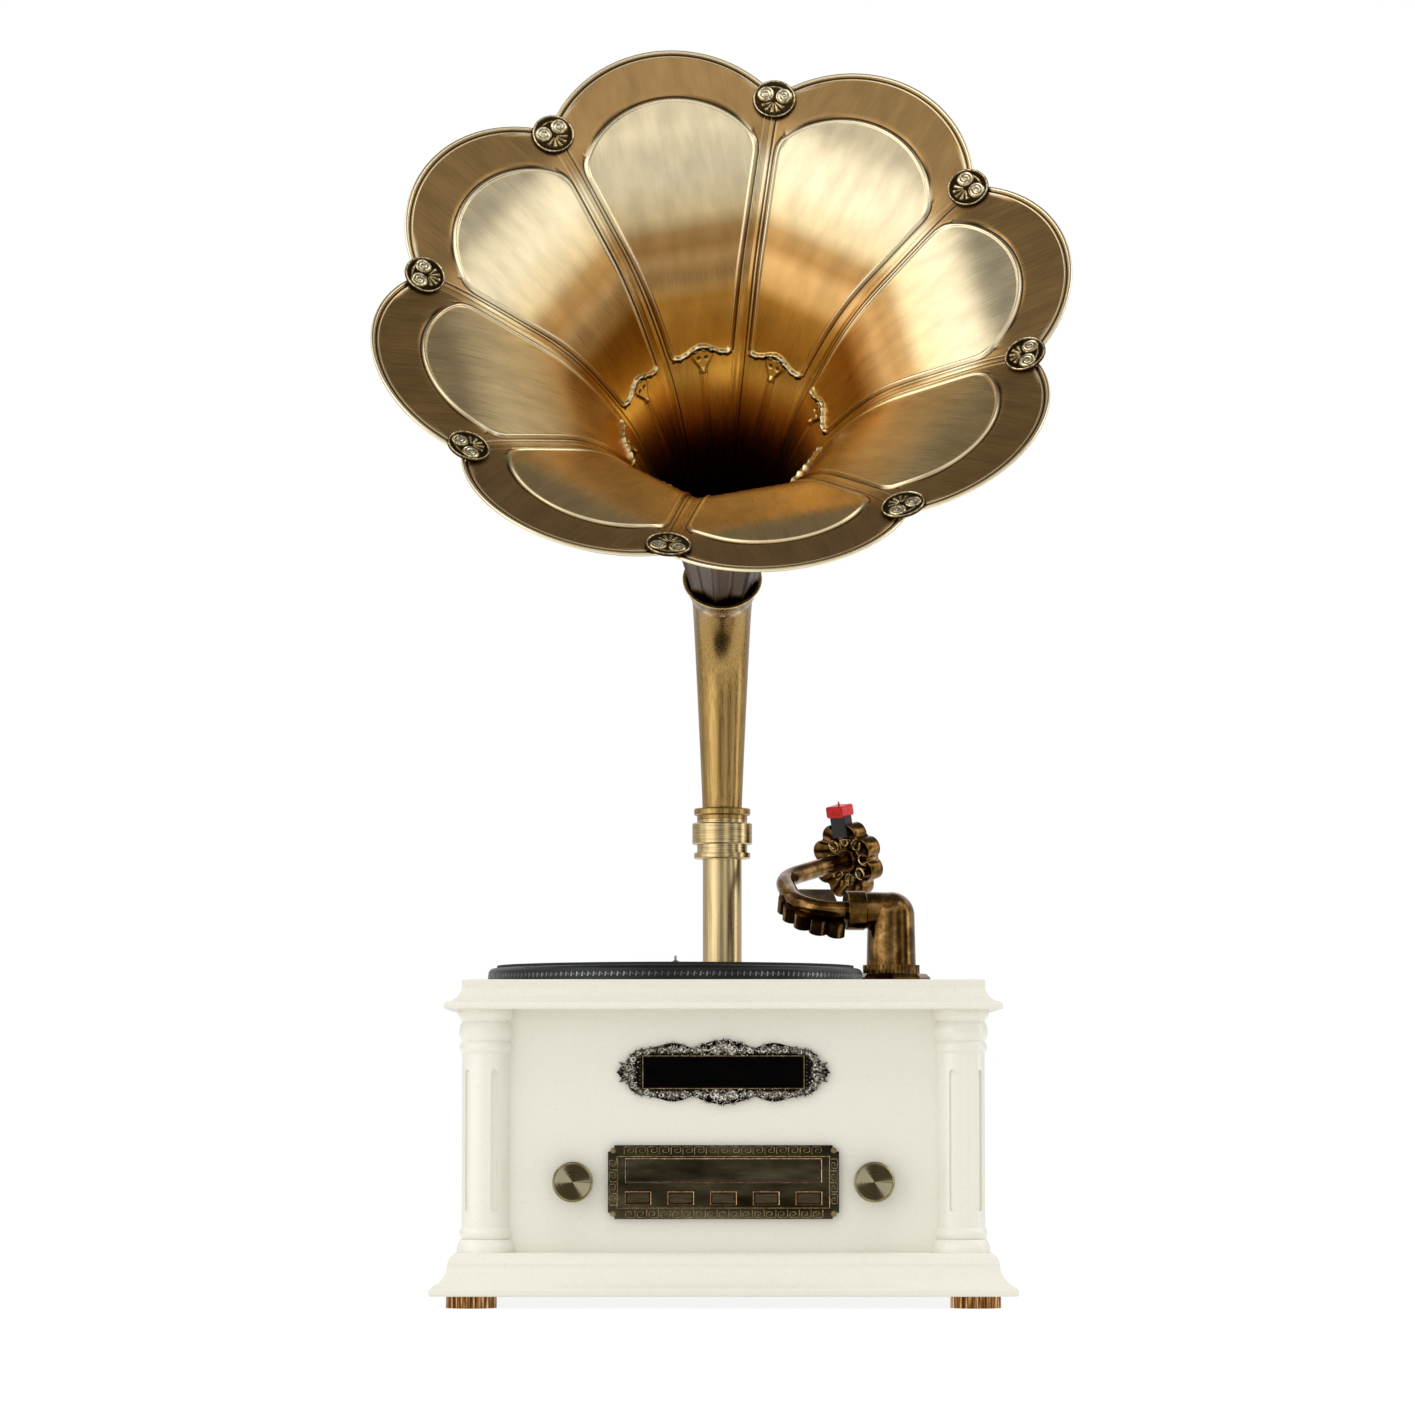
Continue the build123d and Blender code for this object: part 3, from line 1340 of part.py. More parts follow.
half_angle = radians(180 / petal_count - seam_gap_angle / 2)
wedge_tall = 2 * seam_x / tan(half_angle)
border_plane = Plane((0, ring_half, 0), x_dir=(1, 0, 0), z_dir=(0, -sin(border), cos(border)))
border_start = (border_half - ring_half) / cos(border)
tip = (ring_half + petal_reach * cos(border), petal_reach * sin(border))
tip_behind = (tip[0] + sheet_thickness * sin(border), tip[1] - sheet_thickness * cos(border))
inside = [(radius, -depth) for radius, depth in bell_curve]
outside = [(radius, -depth) for radius, depth in moved_out(bell_curve, sheet_thickness)]
start_way = (-cos(border), -sin(border))
end_way = (neck_half - throat_half, bell_length - neck_end)
with BuildPart() as petal:
    with BuildSketch(Plane.YZ):
        with BuildLine():
            Line(tip, inside[0])
            Spline(*inside, tangents=(start_way, end_way))
            Line(inside[-1], outside[-1])
            Spline(*outside, tangents=(start_way, end_way))
            Polyline(outside[0], tip_behind, tip)
        make_face()
    extrude(amount=seam_x + rim_bead_radius, both=True)
    with BuildSketch(border_plane):
        with Locations((0, border_start + rim_bead_radius - neck_end)):
            Rectangle(3 * seam_x, 2 * neck_end)
        with Locations((0, lobe_centre)):
            Circle(lobe_radius)
    extrude(amount=neck_end, both=True, mode=Mode.INTERSECT)
    with BuildLine(border_plane.offset(-sheet_thickness / 2)):
        rim = ThreePointArc((seam_x, seam_up), (0, petal_reach), (-seam_x, seam_up))
    with BuildSketch(Plane(rim @ 0, z_dir=rim % 0)):
        Circle(rim_bead_radius)
    sweep(path=rim)
    with BuildSketch(Plane.XY):
        Polygon((0, 0), (2 * seam_x, wedge_tall), (-2 * seam_x, wedge_tall), align=None)
    extrude(amount=neck_end, both=True, mode=Mode.INTERSECT)

with BuildPart() as horn_petals:
    with Locations(horn_plane):
        with PolarLocations(0, petal_count, start_angle=petal_turn):
            add(petal.part)
save(horn_petals.part, "horn_petals")

# Medallions: an oval plate with two round bosses over each meeting of two petals. It lies
# along the seam's slope and clears the two borders, which rise to both sides of the seam.
medallion_turn = petal_turn + 180 / petal_count
seam_slope = atan(tan(border) * cos(petal_half))
valley = medallion_width / 2 * tan(border) * sin(petal_half) * cos(seam_slope)
medallion_base = valley + rim_bead_radius - sheet_thickness / 2 + seat_gap / 2
medallion_plane = Plane((0, medallion_ring, 0), x_dir=(1, 0, 0), z_dir=(0, -sin(seam_slope), cos(seam_slope)))
medallion_foot = medallion_plane.offset(medallion_base)
with BuildPart() as medallion:
    with BuildSketch(medallion_foot):
        Ellipse(medallion_width / 2, medallion_height / 2)
    extrude(amount=medallion_thickness / 2)
    with BuildSketch(medallion_foot):
        with Locations((0, 3)):
            with GridLocations(2 * medallion_boss_offset, 0, 2, 1):
                Circle(medallion_boss_radius)
    extrude(amount=medallion_thickness)
with BuildPart() as horn_medallions:
    with Locations(horn_plane):
        with PolarLocations(0, petal_count, start_angle=medallion_turn):
            add(medallion.part)
save(horn_medallions.part, "horn_medallions")

# Rear fittings: a plate with the mains inlet, two phono jacks and a rocker switch
rear_plate_outer_y = back_outer_y + rear_plate_thickness
jack_centres = [Location((jack_x + i * jack_pitch, rear_plate_z)) for i in range(2)]
inlet_centre = Location((inlet_x, rear_plate_z))
rocker_centre = Location((rocker_x, rear_plate_z))
switch_neck_width = switch_body_width - 3
switch_neck_height = switch_body_height - 3
with BuildPart() as rear_plate:
    with BuildSketch(facing_back(back_outer_y)):
        with Locations(rear_centre):
            RectangleRounded(rear_plate_width, rear_plate_height, 2)
            with GridLocations(rear_screw_x, rear_screw_y, 2, 2):
                Circle(screw_shank_radius + seat_gap, mode=Mode.SUBTRACT)
        with Locations(inlet_centre):
            Rectangle(inlet_width + 2 * seat_gap, inlet_height + 2 * seat_gap, mode=Mode.SUBTRACT)
        with Locations(*jack_centres):
            Circle(jack_neck_radius + seat_gap, mode=Mode.SUBTRACT)
        with Locations(rocker_centre):
            Rectangle(switch_neck_width, switch_neck_height, mode=Mode.SUBTRACT)
    extrude(amount=rear_plate_thickness)
save(rear_plate.part, "rear_plate")

# Ten identical screws hold the control panel, the rear plate and the post's socket
post_screw_place = Location((0, cabinet_y + post_y))
with BuildPart() as plate_screws:
    add(screws_in(facing_front(panel_front_y - control_thickness - control_border_rise),
                  Location((0, control_z)), screw_pitch_x, screw_pitch_z, 2))
    add(screws_in(facing_back(rear_plate_outer_y), rear_centre, rear_screw_x, rear_screw_y, 2))
    add(screws_in(Plane.XY.offset(deck_z + post_flange_height), post_screw_place, post_screw_pitch, 0, 1))
save(plate_screws.part, "plate_screws")

with BuildPart() as ac_inlet:
    with BuildSketch(facing_back(rear_plate_outer_y)):
        with Locations(inlet_centre):
            Rectangle(inlet_width + 6, inlet_height + 6)
    extrude(amount=rim_lip)
    with BuildSketch(facing_back(rear_plate_outer_y)):
        with Locations(inlet_centre):
            Rectangle(inlet_width, inlet_height)
    extrude(amount=-inlet_depth)
    with BuildSketch(facing_back(rear_plate_outer_y + rim_lip)):
        with Locations(inlet_centre):
            SlotOverall(inlet_cavity_width, inlet_cavity_height)
    extrude(amount=-inlet_cavity_depth, mode=Mode.SUBTRACT)
    with BuildSketch(facing_back(rear_plate_outer_y + rim_lip - inlet_cavity_depth)):
        with Locations(inlet_centre):
            with GridLocations(inlet_cavity_width / 2, 0, 2, 1):
                Circle(inlet_pin_radius)
    extrude(amount=inlet_pin_length)
save(ac_inlet.part, "ac_inlet")

with BuildPart() as phono_jacks:
    with BuildSketch(facing_back(back_outer_y)):
        with Locations(*jack_centres):
            Circle(jack_body_radius)
    extrude(amount=-jack_body_depth)
    with BuildSketch(facing_back(back_outer_y)):
        with Locations(*jack_centres):
            Circle(jack_neck_radius)
    extrude(amount=rear_plate_thickness + jack_ring_height)
    with BuildSketch(facing_back(rear_plate_outer_y + jack_ring_height)):
        with Locations(*jack_centres):
            Circle(jack_radius)
    extrude(amount=jack_length)
    with BuildSketch(facing_back(rear_plate_outer_y + jack_ring_height + jack_length)):
        with Locations(*jack_centres):
            Circle(jack_bore_radius)
    extrude(amount=-jack_length, mode=Mode.SUBTRACT)
save(phono_jacks.part, "phono_jacks")

# The rocker turns on two short pins in the switch's side walls
rocker_pin_y = rear_plate_outer_y - 2.0
with BuildPart() as switch_body:
    with BuildSketch(facing_back(rear_plate_outer_y)):
        with Locations(rocker_centre):
            Rectangle(switch_body_width, switch_body_height)
    extrude(amount=rim_lip)
    with BuildSketch(facing_back(rear_plate_outer_y)):
        with Locations(rocker_centre):
            Rectangle(switch_neck_width - 2 * seat_gap, switch_neck_height - 2 * seat_gap)
    extrude(amount=-switch_body_depth)
    with BuildSketch(facing_back(rear_plate_outer_y + rim_lip)):
        with Locations(rocker_centre):
            Rectangle(rocker_width + 2 * sliding_gap, rocker_height + 2 * sliding_gap)
    extrude(amount=-(rocker_depth + 4), mode=Mode.SUBTRACT)
    with BuildSketch(facing_side(-rocker_x)):
        with Locations((rocker_pin_y - cabinet_y, rear_plate_z)):
            Circle(rocker_pin_radius + running_gap)
    extrude(amount=rocker_pin_length / 2 + seat_gap, both=True, mode=Mode.SUBTRACT)
save(switch_body.part, "switch_body")

rocker_face_y = rear_plate_outer_y - cabinet_y + rocker_stand_out
rocker_low = rear_plate_z - rocker_height / 2 + 1.6
rocker_high = rear_plate_z + rocker_height / 2 - 1.6
rocker_heel = rocker_face_y - rocker_stand_out - rocker_depth
with BuildPart() as rocker:
    with BuildSketch(facing_side(-rocker_x)):
        with BuildLine():
            Polyline((rocker_heel, rocker_high - 3), (rocker_heel, rocker_low + 3),
                     (rocker_face_y - 1, rocker_low - 1), (rocker_face_y, rocker_low))
            RadiusArc((rocker_face_y, rocker_low), (rocker_face_y, rocker_high), 1.4 * rocker_height)
            Polyline((rocker_face_y, rocker_high), (rocker_face_y - 1, rocker_high + 1),
                     (rocker_heel, rocker_high - 3))
        make_face()
    extrude(amount=rocker_width / 2, both=True)
    with BuildSketch(facing_side(-rocker_x)):
        with Locations((rocker_pin_y - cabinet_y, rear_plate_z)):
            Circle(rocker_pin_radius)
    extrude(amount=rocker_pin_length / 2, both=True)
rocker_axis = Axis((-rocker_x, rocker_pin_y, rear_plate_z), (1, 0, 0))
power_rocker = rocker.part.rotate(rocker_axis, rocker_tilt)
save(power_rocker, "power_rocker")
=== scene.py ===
from math import asin, atan2, cos, hypot, pi, radians, sin
import bmesh
import bpy
import numpy as np
from mathutils import Matrix, Vector


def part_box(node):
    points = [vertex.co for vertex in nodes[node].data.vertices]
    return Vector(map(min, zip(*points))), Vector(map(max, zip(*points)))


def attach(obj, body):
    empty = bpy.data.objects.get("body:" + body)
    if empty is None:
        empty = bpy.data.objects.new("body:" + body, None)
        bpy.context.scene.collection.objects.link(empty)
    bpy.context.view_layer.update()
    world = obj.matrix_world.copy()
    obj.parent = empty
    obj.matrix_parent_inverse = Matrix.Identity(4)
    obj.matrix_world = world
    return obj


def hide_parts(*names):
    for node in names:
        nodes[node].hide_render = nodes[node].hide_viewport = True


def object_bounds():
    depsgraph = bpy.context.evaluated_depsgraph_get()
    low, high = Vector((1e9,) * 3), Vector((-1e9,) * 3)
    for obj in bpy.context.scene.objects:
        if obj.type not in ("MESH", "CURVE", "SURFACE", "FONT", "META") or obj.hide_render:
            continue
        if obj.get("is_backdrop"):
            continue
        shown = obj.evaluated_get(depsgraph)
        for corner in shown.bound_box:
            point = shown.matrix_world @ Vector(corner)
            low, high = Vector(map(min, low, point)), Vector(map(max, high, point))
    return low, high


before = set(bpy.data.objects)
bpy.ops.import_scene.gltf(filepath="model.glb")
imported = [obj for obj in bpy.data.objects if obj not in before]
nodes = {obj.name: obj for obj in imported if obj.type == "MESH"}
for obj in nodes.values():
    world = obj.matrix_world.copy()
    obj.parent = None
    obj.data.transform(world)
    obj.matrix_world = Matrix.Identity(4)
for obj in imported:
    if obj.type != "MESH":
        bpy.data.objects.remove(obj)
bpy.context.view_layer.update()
scene = bpy.context.scene
print("frame loaded:", len(nodes), "nodes")

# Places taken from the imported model, in millimetres
cabinetY = 43.369
panelFrontY = cabinetY - 181.5
platterX, platterY = -38.0, cabinetY - 5
headMiddle = np.array([106.473, cabinetY + 207.295, 360.82])
headRight = np.array([0.746123, -0.665808, 0.0])
headUp = np.array([-0.146376, -0.164032, 0.975535])
headNormal = -np.array([0.649519, 0.727869, 0.219846])
hornMiddle = np.array([0.0, cabinetY - 152.032, 769.017])
hornUp = np.array([0.0, 0.559193, 0.829038])
hornAxis = np.array([0.0, -0.829038, 0.559193])
socketFoot = np.array([0.0, cabinetY + 132.328, 577.213])
across = np.array([1.0, 0.0, 0.0])


# Colours and nodes
def hexLinear(code):
    parts = [int(code[i:i + 2], 16) / 255 for i in (1, 3, 5)]
    return tuple(c / 12.92 if c <= 0.04045 else ((c + 0.055) / 1.055) ** 2.4 for c in parts) + (1.0,)


# Adds a node: links by input name, values by input name, and plain settings
def addNode(tree, kind, links=None, values=None, **settings):
    node = tree.nodes.new(kind)
    for name, value in settings.items():
        setattr(node, name, value)
    for name, value in (values or {}).items():
        node.inputs[name].default_value = value
    for name, source in (links or {}).items():
        tree.links.new(source, node.inputs[name])
    return node


def colourStops(node, stops):
    elements = node.color_ramp.elements
    while len(elements) > 1:
        elements.remove(elements[-1])
    elements[0].position, elements[0].color = stops[0][0], hexLinear(stops[0][1])
    for place, code in stops[1:]:
        elements.new(place).color = hexLinear(code)
    return node.outputs["Color"]


def newMaterial(name, **sockets):
    material = bpy.data.materials.new(name)
    material.use_nodes = True
    tree = material.node_tree
    tree.nodes.clear()
    shader = addNode(tree, "ShaderNodeBsdfPrincipled")
    for socket, value in sockets.items():
        shader.inputs[socket.replace("_", " ")].default_value = value
    addNode(tree, "ShaderNodeOutputMaterial", {"Surface": shader.outputs[0]})
    return material, tree, shader


# A surface whose colour, gloss and relief follow one noise: grain is its size in mm along X, Y and Z
def grainedMaterial(name, stops, grain, rough, bump, metallic=1.0, **sockets):
    material, tree, shader = newMaterial(name, Metallic=metallic, **sockets)
    place = addNode(tree, "ShaderNodeTexCoord")
    scaled = addNode(tree, "ShaderNodeMapping", {"Vector": place.outputs["Object"]},
                     {"Scale": [1000 / g for g in grain]})
    noise = addNode(tree, "ShaderNodeTexNoise", {"Vector": scaled.outputs["Vector"]},
                    {"Scale": 1.0, "Detail": 3.0, "Roughness": 0.6})
    colour = addNode(tree, "ShaderNodeValToRGB", {"Fac": noise.outputs["Fac"]})
    tree.links.new(colourStops(colour, stops), shader.inputs["Base Color"])
    gloss = addNode(tree, "ShaderNodeMapRange", {"Value": noise.outputs["Fac"]},
                    {"From Min": 0.3, "From Max": 0.7, "To Min": rough[0], "To Max": rough[1]})
    tree.links.new(gloss.outputs["Result"], shader.inputs["Roughness"])
    relief = addNode(tree, "ShaderNodeBump", {"Height": noise.outputs["Fac"]},
                     {"Strength": 1.0, "Distance": bump / 1000})
    tree.links.new(relief.outputs["Normal"], shader.inputs["Normal"])
    return material


# Colour of a washed casting: from its hollows at 0 to its tips at 1, broken up by a fine speckle
def washedColour(tree, shader, rise, scale, detail, stops):
    place = addNode(tree, "ShaderNodeTexCoord")
    speck = addNode(tree, "ShaderNodeTexNoise", {"Vector": place.outputs["Object"]}, {"Scale": scale, "Detail": detail})
    worn = addNode(tree, "ShaderNodeMath", {0: rise, 1: speck.outputs["Fac"]}, operation="MULTIPLY")
    wash = addNode(tree, "ShaderNodeValToRGB", {"Fac": worn.outputs[0]})
    tree.links.new(colourStops(wash, stops), shader.inputs["Base Color"])


def dress(names, material):
    for name in names:
        mesh = nodes[name].data
        mesh.materials.clear()
        mesh.materials.append(material)


# Mesh helpers: points are in millimetres in the shared frame
def meshFrom(name, points, faces, material=None, sharp=38.0, fixNormals=False):
    mesh = bpy.data.meshes.new(name)
    mesh.from_pydata((np.asarray(points, float) / 1000).tolist(), [], faces)
    if fixNormals:
        shell = bmesh.new()
        shell.from_mesh(mesh)
        bmesh.ops.recalc_face_normals(shell, faces=shell.faces)
        shell.to_mesh(mesh)
        shell.free()
    if material:
        mesh.materials.append(material)
    mesh.shade_smooth()
    if sharp:
        mesh.set_sharp_from_angle(angle=radians(sharp))
    return mesh


# A shape 1 mm large, to be repeated
def unitShape(name, points, faces):
    return meshFrom(name, points, faces, sharp=None, fixNormals=True)


# Gives a mesh its own map: one place for each point
def mapOnto(mesh, name, places):
    corner = np.empty(len(mesh.loops), np.int32)
    mesh.loops.foreach_get("vertex_index", corner)
    mesh.uv_layers.new(name=name).data.foreach_set("uv", places[corner].astype(np.float32).ravel())


def pieceFrom(mesh, body, replaces=()):
    piece = bpy.data.objects.new(mesh.name, mesh)
    scene.collection.objects.link(piece)
    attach(piece, body)
    if replaces:
        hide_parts(*replaces)
    return piece


# Quads of a grid whose points run row by row
def gridFaces(rows, columns, wrap=False, start=0):
    faces = []
    for i in range(rows - 1):
        for j in range(columns if wrap else columns - 1):
            k = (j + 1) % columns
            faces.append((start + i * columns + j, start + i * columns + k,
                          start + (i + 1) * columns + k, start + (i + 1) * columns + j))
    return faces


# Quads of a closed ring: the last row joins the first
def ringFaces(rows, columns):
    last = (rows - 1) * columns
    joint = [(last + j, last + (j + 1) % columns, (j + 1) % columns, j) for j in range(columns)]
    return gridFaces(rows, columns, wrap=True) + joint


# Quads round a tube, with a face over each end
def cappedFaces(rows, columns):
    last = (rows - 1) * columns
    caps = [tuple(reversed(range(columns))), tuple(last + i for i in range(columns))]
    return gridFaces(rows, columns, wrap=True) + caps


# Faces of a block whose points are the four corners of its foot, then those of its top
def blockFaces(s=0):
    sides = [(s + j, s + (j + 1) % 4, s + 4 + (j + 1) % 4, s + 4 + j) for j in range(4)]
    return [(s + 4, s + 5, s + 6, s + 7), (s + 3, s + 2, s + 1, s)] + sides


# A turned piece: profile is (distance along the axis, radius); the ends close on the axis or on each other
def turned(profile, foot, axis, side, segments=96, closed=False):
    axis, side = np.asarray(axis, float), np.asarray(side, float)
    other = np.cross(axis, side)
    angles = np.arange(segments) * 2 * pi / segments
    ring = np.outer(np.cos(angles), side) + np.outer(np.sin(angles), other)
    profile = list(profile) + ([profile[0]] if closed else [])
    points = np.concatenate([np.asarray(foot) + axis * along + ring * radius for along, radius in profile])
    return points, gridFaces(len(profile), segments, wrap=True)


# A round bar along points, with a radius at each point, closed at both ends
def barAlong(path, radii, sides=8, start=0):
    path = np.asarray(path, float)
    tangents = np.gradient(path, axis=0)
    tangents /= np.linalg.norm(tangents, axis=1)[:, None]
    up = np.array([0.0, 0.0, 1.0]) if abs(tangents[0][2]) < 0.9 else np.array([1.0, 0.0, 0.0])
    rings = []
    for point, tangent, radius in zip(path, tangents, np.broadcast_to(radii, len(path))):
        sideways = np.cross(tangent, up)
        sideways /= np.linalg.norm(sideways)
        up = np.cross(sideways, tangent)
        for i in range(sides):
            angle = 2 * pi * i / sides
            rings.append(point + radius * (cos(angle) * sideways + sin(angle) * up))
    faces = gridFaces(len(path), sides, wrap=True, start=start)
    faces.append(tuple(start + i for i in range(sides)))
    faces.append(tuple(start + (len(path) - 1) * sides + i for i in reversed(range(sides))))
    return rings, faces


# Geometry nodes: the same shape at each of a set of points, turned and scaled by point
def repeatTree():
    tree = bpy.data.node_groups.new("repeatShape", "GeometryNodeTree")
    tree.interface.new_socket("Points", in_out="INPUT", socket_type="NodeSocketGeometry")
    tree.interface.new_socket("Shape", in_out="INPUT", socket_type="NodeSocketObject")
    tree.interface.new_socket("Size", in_out="INPUT", socket_type="NodeSocketFloat")
    tree.interface.new_socket("Finish", in_out="INPUT", socket_type="NodeSocketMaterial")
    tree.interface.new_socket("Result", in_out="OUTPUT", socket_type="NodeSocketGeometry")
    given = addNode(tree, "NodeGroupInput")
    shape = addNode(tree, "GeometryNodeObjectInfo", {"Object": given.outputs["Shape"]})
    turn = addNode(tree, "GeometryNodeInputNamedAttribute", values={"Name": "turn"}, data_type="FLOAT_VECTOR")
    rotation = addNode(tree, "FunctionNodeEulerToRotation", {"Euler": turn.outputs["Attribute"]})
    size = addNode(tree, "GeometryNodeInputNamedAttribute", values={"Name": "size"}, data_type="FLOAT_VECTOR")
    scaled = addNode(tree, "ShaderNodeVectorMath", {0: size.outputs["Attribute"], "Scale": given.outputs["Size"]},
                     operation="SCALE")
    copies = addNode(tree, "GeometryNodeInstanceOnPoints",
                     {"Points": given.outputs["Points"], "Instance": shape.outputs["Geometry"],
                      "Rotation": rotation.outputs["Rotation"], "Scale": scaled.outputs["Vector"]})
    real = addNode(tree, "GeometryNodeRealizeInstances", {"Geometry": copies.outputs["Instances"]})
    finished = addNode(tree, "GeometryNodeSetMaterial",
                       {"Geometry": real.outputs["Geometry"], "Material": given.outputs["Finish"]})
    addNode(tree, "NodeGroupOutput", {"Result": finished.outputs["Geometry"]})
    return tree


repeatShape = repeatTree()


# places are rows of (point in mm, 3x3 turn, size in mm along X, Y and Z)
def repeated(name, shape, places, material, body, sharp=38.0):
    carrier = bpy.data.meshes.new(name + "Points")
    carrier.from_pydata([(Vector(p) / 1000) for p, turn, size in places], [], [])
    turns = carrier.attributes.new("turn", "FLOAT_VECTOR", "POINT")
    turns.data.foreach_set("vector", np.array([Matrix(np.asarray(t).tolist()).to_euler("XYZ")[:]
                                               for p, t, s in places], np.float32).ravel())
    sizes = carrier.attributes.new("size", "FLOAT_VECTOR", "POINT")
    sizes.data.foreach_set("vector", np.array([s for p, t, s in places], np.float32).ravel())
    maker = bpy.data.objects.new(name + "Maker", carrier)
    unit = bpy.data.objects.new(name + "Unit", shape)
    scene.collection.objects.link(maker)
    modifier = maker.modifiers.new("repeat", "NODES")
    modifier.node_group = repeatShape
    named = {item.name: item.identifier for item in repeatShape.interface.items_tree if item.in_out == "INPUT"}
    modifier[named["Shape"]] = unit
    modifier[named["Size"]] = 1.0     # a place's size in mm is a factor on the 1 mm shape
    modifier[named["Finish"]] = material
    made = maker.evaluated_get(bpy.context.evaluated_depsgraph_get())
    mesh = bpy.data.meshes.new_from_object(made)
    mesh.name = name
    bpy.data.objects.remove(maker)
    bpy.data.objects.remove(unit)
    mesh.shade_smooth()
    mesh.set_sharp_from_angle(angle=radians(sharp))
    return pieceFrom(mesh, body)


# Camera: 4.18 m in front of the front panel, 0.16 m up, tilted up 4.13 degrees to take in the horn
cameraData = bpy.data.cameras.new("camera")
cameraData.lens, cameraData.sensor_width, cameraData.clip_end = 137.95, 36.0, 50
camera = bpy.data.objects.new("camera", cameraData)
camera.location = (-0.01227, (cabinetY - 4360) / 1000, 0.159)
camera.rotation_euler = (radians(94.135), 0, 0)
scene.collection.objects.link(camera)
scene.camera = camera
scene.view_settings.view_transform = "Standard"

# Studio: a white background, a room that the metal mirrors, and soft boxes at the sides and above. The room
# is pale at eye height and dark overhead and low down. A dark strip straight in front and dark and pale
# strips to the right of it give the tubes their lines.
studio = {"byHeight": [(0.0, 0.3), (0.35, 0.3), (0.43, 1.0), (0.8, 0.85), (0.88, 0.22), (1.0, 0.12)],
          "byBearing": [(0.0, 0.55), (0.22, 0.5), (0.25, 1.0), (0.36, 0.95), (0.41, 0.74), (0.45, 0.74), (0.468, 0.3),
                        (0.515, 0.3), (0.53, 1.0), (0.555, 1.0), (0.58, 0.22), (0.625, 0.22), (0.64, 1.0),
                        (0.665, 1.0), (0.68, 0.18), (0.72, 0.18), (0.78, 0.5), (1.0, 0.55)],
          "roomGlow": 1.25, "plainGlow": 0.78, "floorRadius": 1.9, "floorWhite": 0.72, "floorGlow": 1.2,
          # place and target in metres, width, height, watts
          "lamps": {"leftBox": ((-1.9, -1.6, 1.0), (0, 0, 0.45), 1.8, 2.6, 14),
                    "rightBox": ((2.4, 0.1, 0.9), (0, 0, 0.45), 0.6, 2.4, 9),
                    "topBox": ((0.0, -0.9, 2.6), (0, 0, 0.5), 1.6, 1.0, 14),
                    "highLeftBox": ((-1.55, -0.3, 2.0), (0, -0.15, 0.75), 0.9, 0.9, 3),
                    "highRightBox": ((1.55, -0.3, 2.0), (0, -0.15, 0.75), 0.9, 0.9, 3)}}
world = bpy.data.worlds.new("studio")
scene.world = world
world.use_nodes = True
tree = world.node_tree
tree.nodes.clear()


# What a ray is: one that the camera sends, and one that shows a reflection or passes through glass
def rayKinds(tree):
    ray = addNode(tree, "ShaderNodeLightPath")
    mirror = addNode(tree, "ShaderNodeMath", {0: ray.outputs["Is Glossy Ray"], 1: ray.outputs["Is Transmission Ray"]},
                     operation="MAXIMUM")
    return ray.outputs["Is Camera Ray"], mirror.outputs[0]


cameraRay, mirrorRay = rayKinds(tree)
facing = addNode(tree, "ShaderNodeTexCoord")
parts = addNode(tree, "ShaderNodeSeparateXYZ", {"Vector": facing.outputs["Generated"]})
raised = addNode(tree, "ShaderNodeMapRange", {"Value": parts.outputs["Z"]}, {"From Min": -1.0, "From Max": 1.0})
forward = addNode(tree, "ShaderNodeMath", {0: parts.outputs["Y"]}, {1: -1.0}, operation="MULTIPLY")
bearing = addNode(tree, "ShaderNodeMath", {0: parts.outputs["X"], 1: forward.outputs[0]}, operation="ARCTAN2")
turnedTo = addNode(tree, "ShaderNodeMapRange", {"Value": bearing.outputs[0]}, {"From Min": -pi, "From Max": pi})


# Brightness along a value from 0 to 1: height runs from straight down to up, bearing from the back by the left
def glowAlong(value, stops):
    ramp = addNode(tree, "ShaderNodeFloatCurve", {"Value": value})
    curve = ramp.mapping.curves[0]
    curve.points[0].location, curve.points[-1].location = stops[0], stops[-1]
    for place, level in stops[1:-1]:
        curve.points.new(place, level)
    for point in curve.points:
        point.handle_type = "VECTOR"
    ramp.mapping.update()
    return ramp.outputs["Value"]


nearLevel = addNode(tree, "ShaderNodeMapRange", {"Value": parts.outputs["Z"]},
                    {"From Min": 0.5, "From Max": 0.25, "To Min": 0.0, "To Max": 1.0}, interpolation_type="SMOOTHSTEP")
around = addNode(tree, "ShaderNodeMix", {"Factor": nearLevel.outputs["Result"],
                                         "B": glowAlong(turnedTo.outputs["Result"], studio["byBearing"])}, {"A": 1.0})
room = addNode(tree, "ShaderNodeMath", {0: glowAlong(raised.outputs["Result"], studio["byHeight"]),
                                        1: around.outputs["Result"]}, operation="MULTIPLY")
room = addNode(tree, "ShaderNodeMath", {0: room.outputs[0]}, {1: studio["roomGlow"]}, operation="MULTIPLY")
mirrored = addNode(tree, "ShaderNodeMix", {"Factor": mirrorRay, "B": room.outputs[0]}, {"A": studio["plainGlow"]})
shown = addNode(tree, "ShaderNodeMix", {"Factor": cameraRay, "A": mirrored.outputs["Result"]}, {"B": 1.0})
glow = addNode(tree, "ShaderNodeBackground", {"Color": shown.outputs["Result"]})
addNode(tree, "ShaderNodeOutputWorld", {"Surface": glow.outputs[0]})

for name, (place, target, width, height, watts) in studio["lamps"].items():
    data = bpy.data.lights.new(name, "AREA")
    data.shape, data.size, data.size_y, data.energy = "RECTANGLE", width, height, watts
    lamp = bpy.data.objects.new(name, data)
    lamp.location = place
    lamp.rotation_euler = (Vector(target) - Vector(place)).to_track_quat("-Z", "Y").to_euler()
    lamp.visible_glossy = name != "topBox"     # the petals would show the top box as a hard patch
    scene.collection.objects.link(lamp)

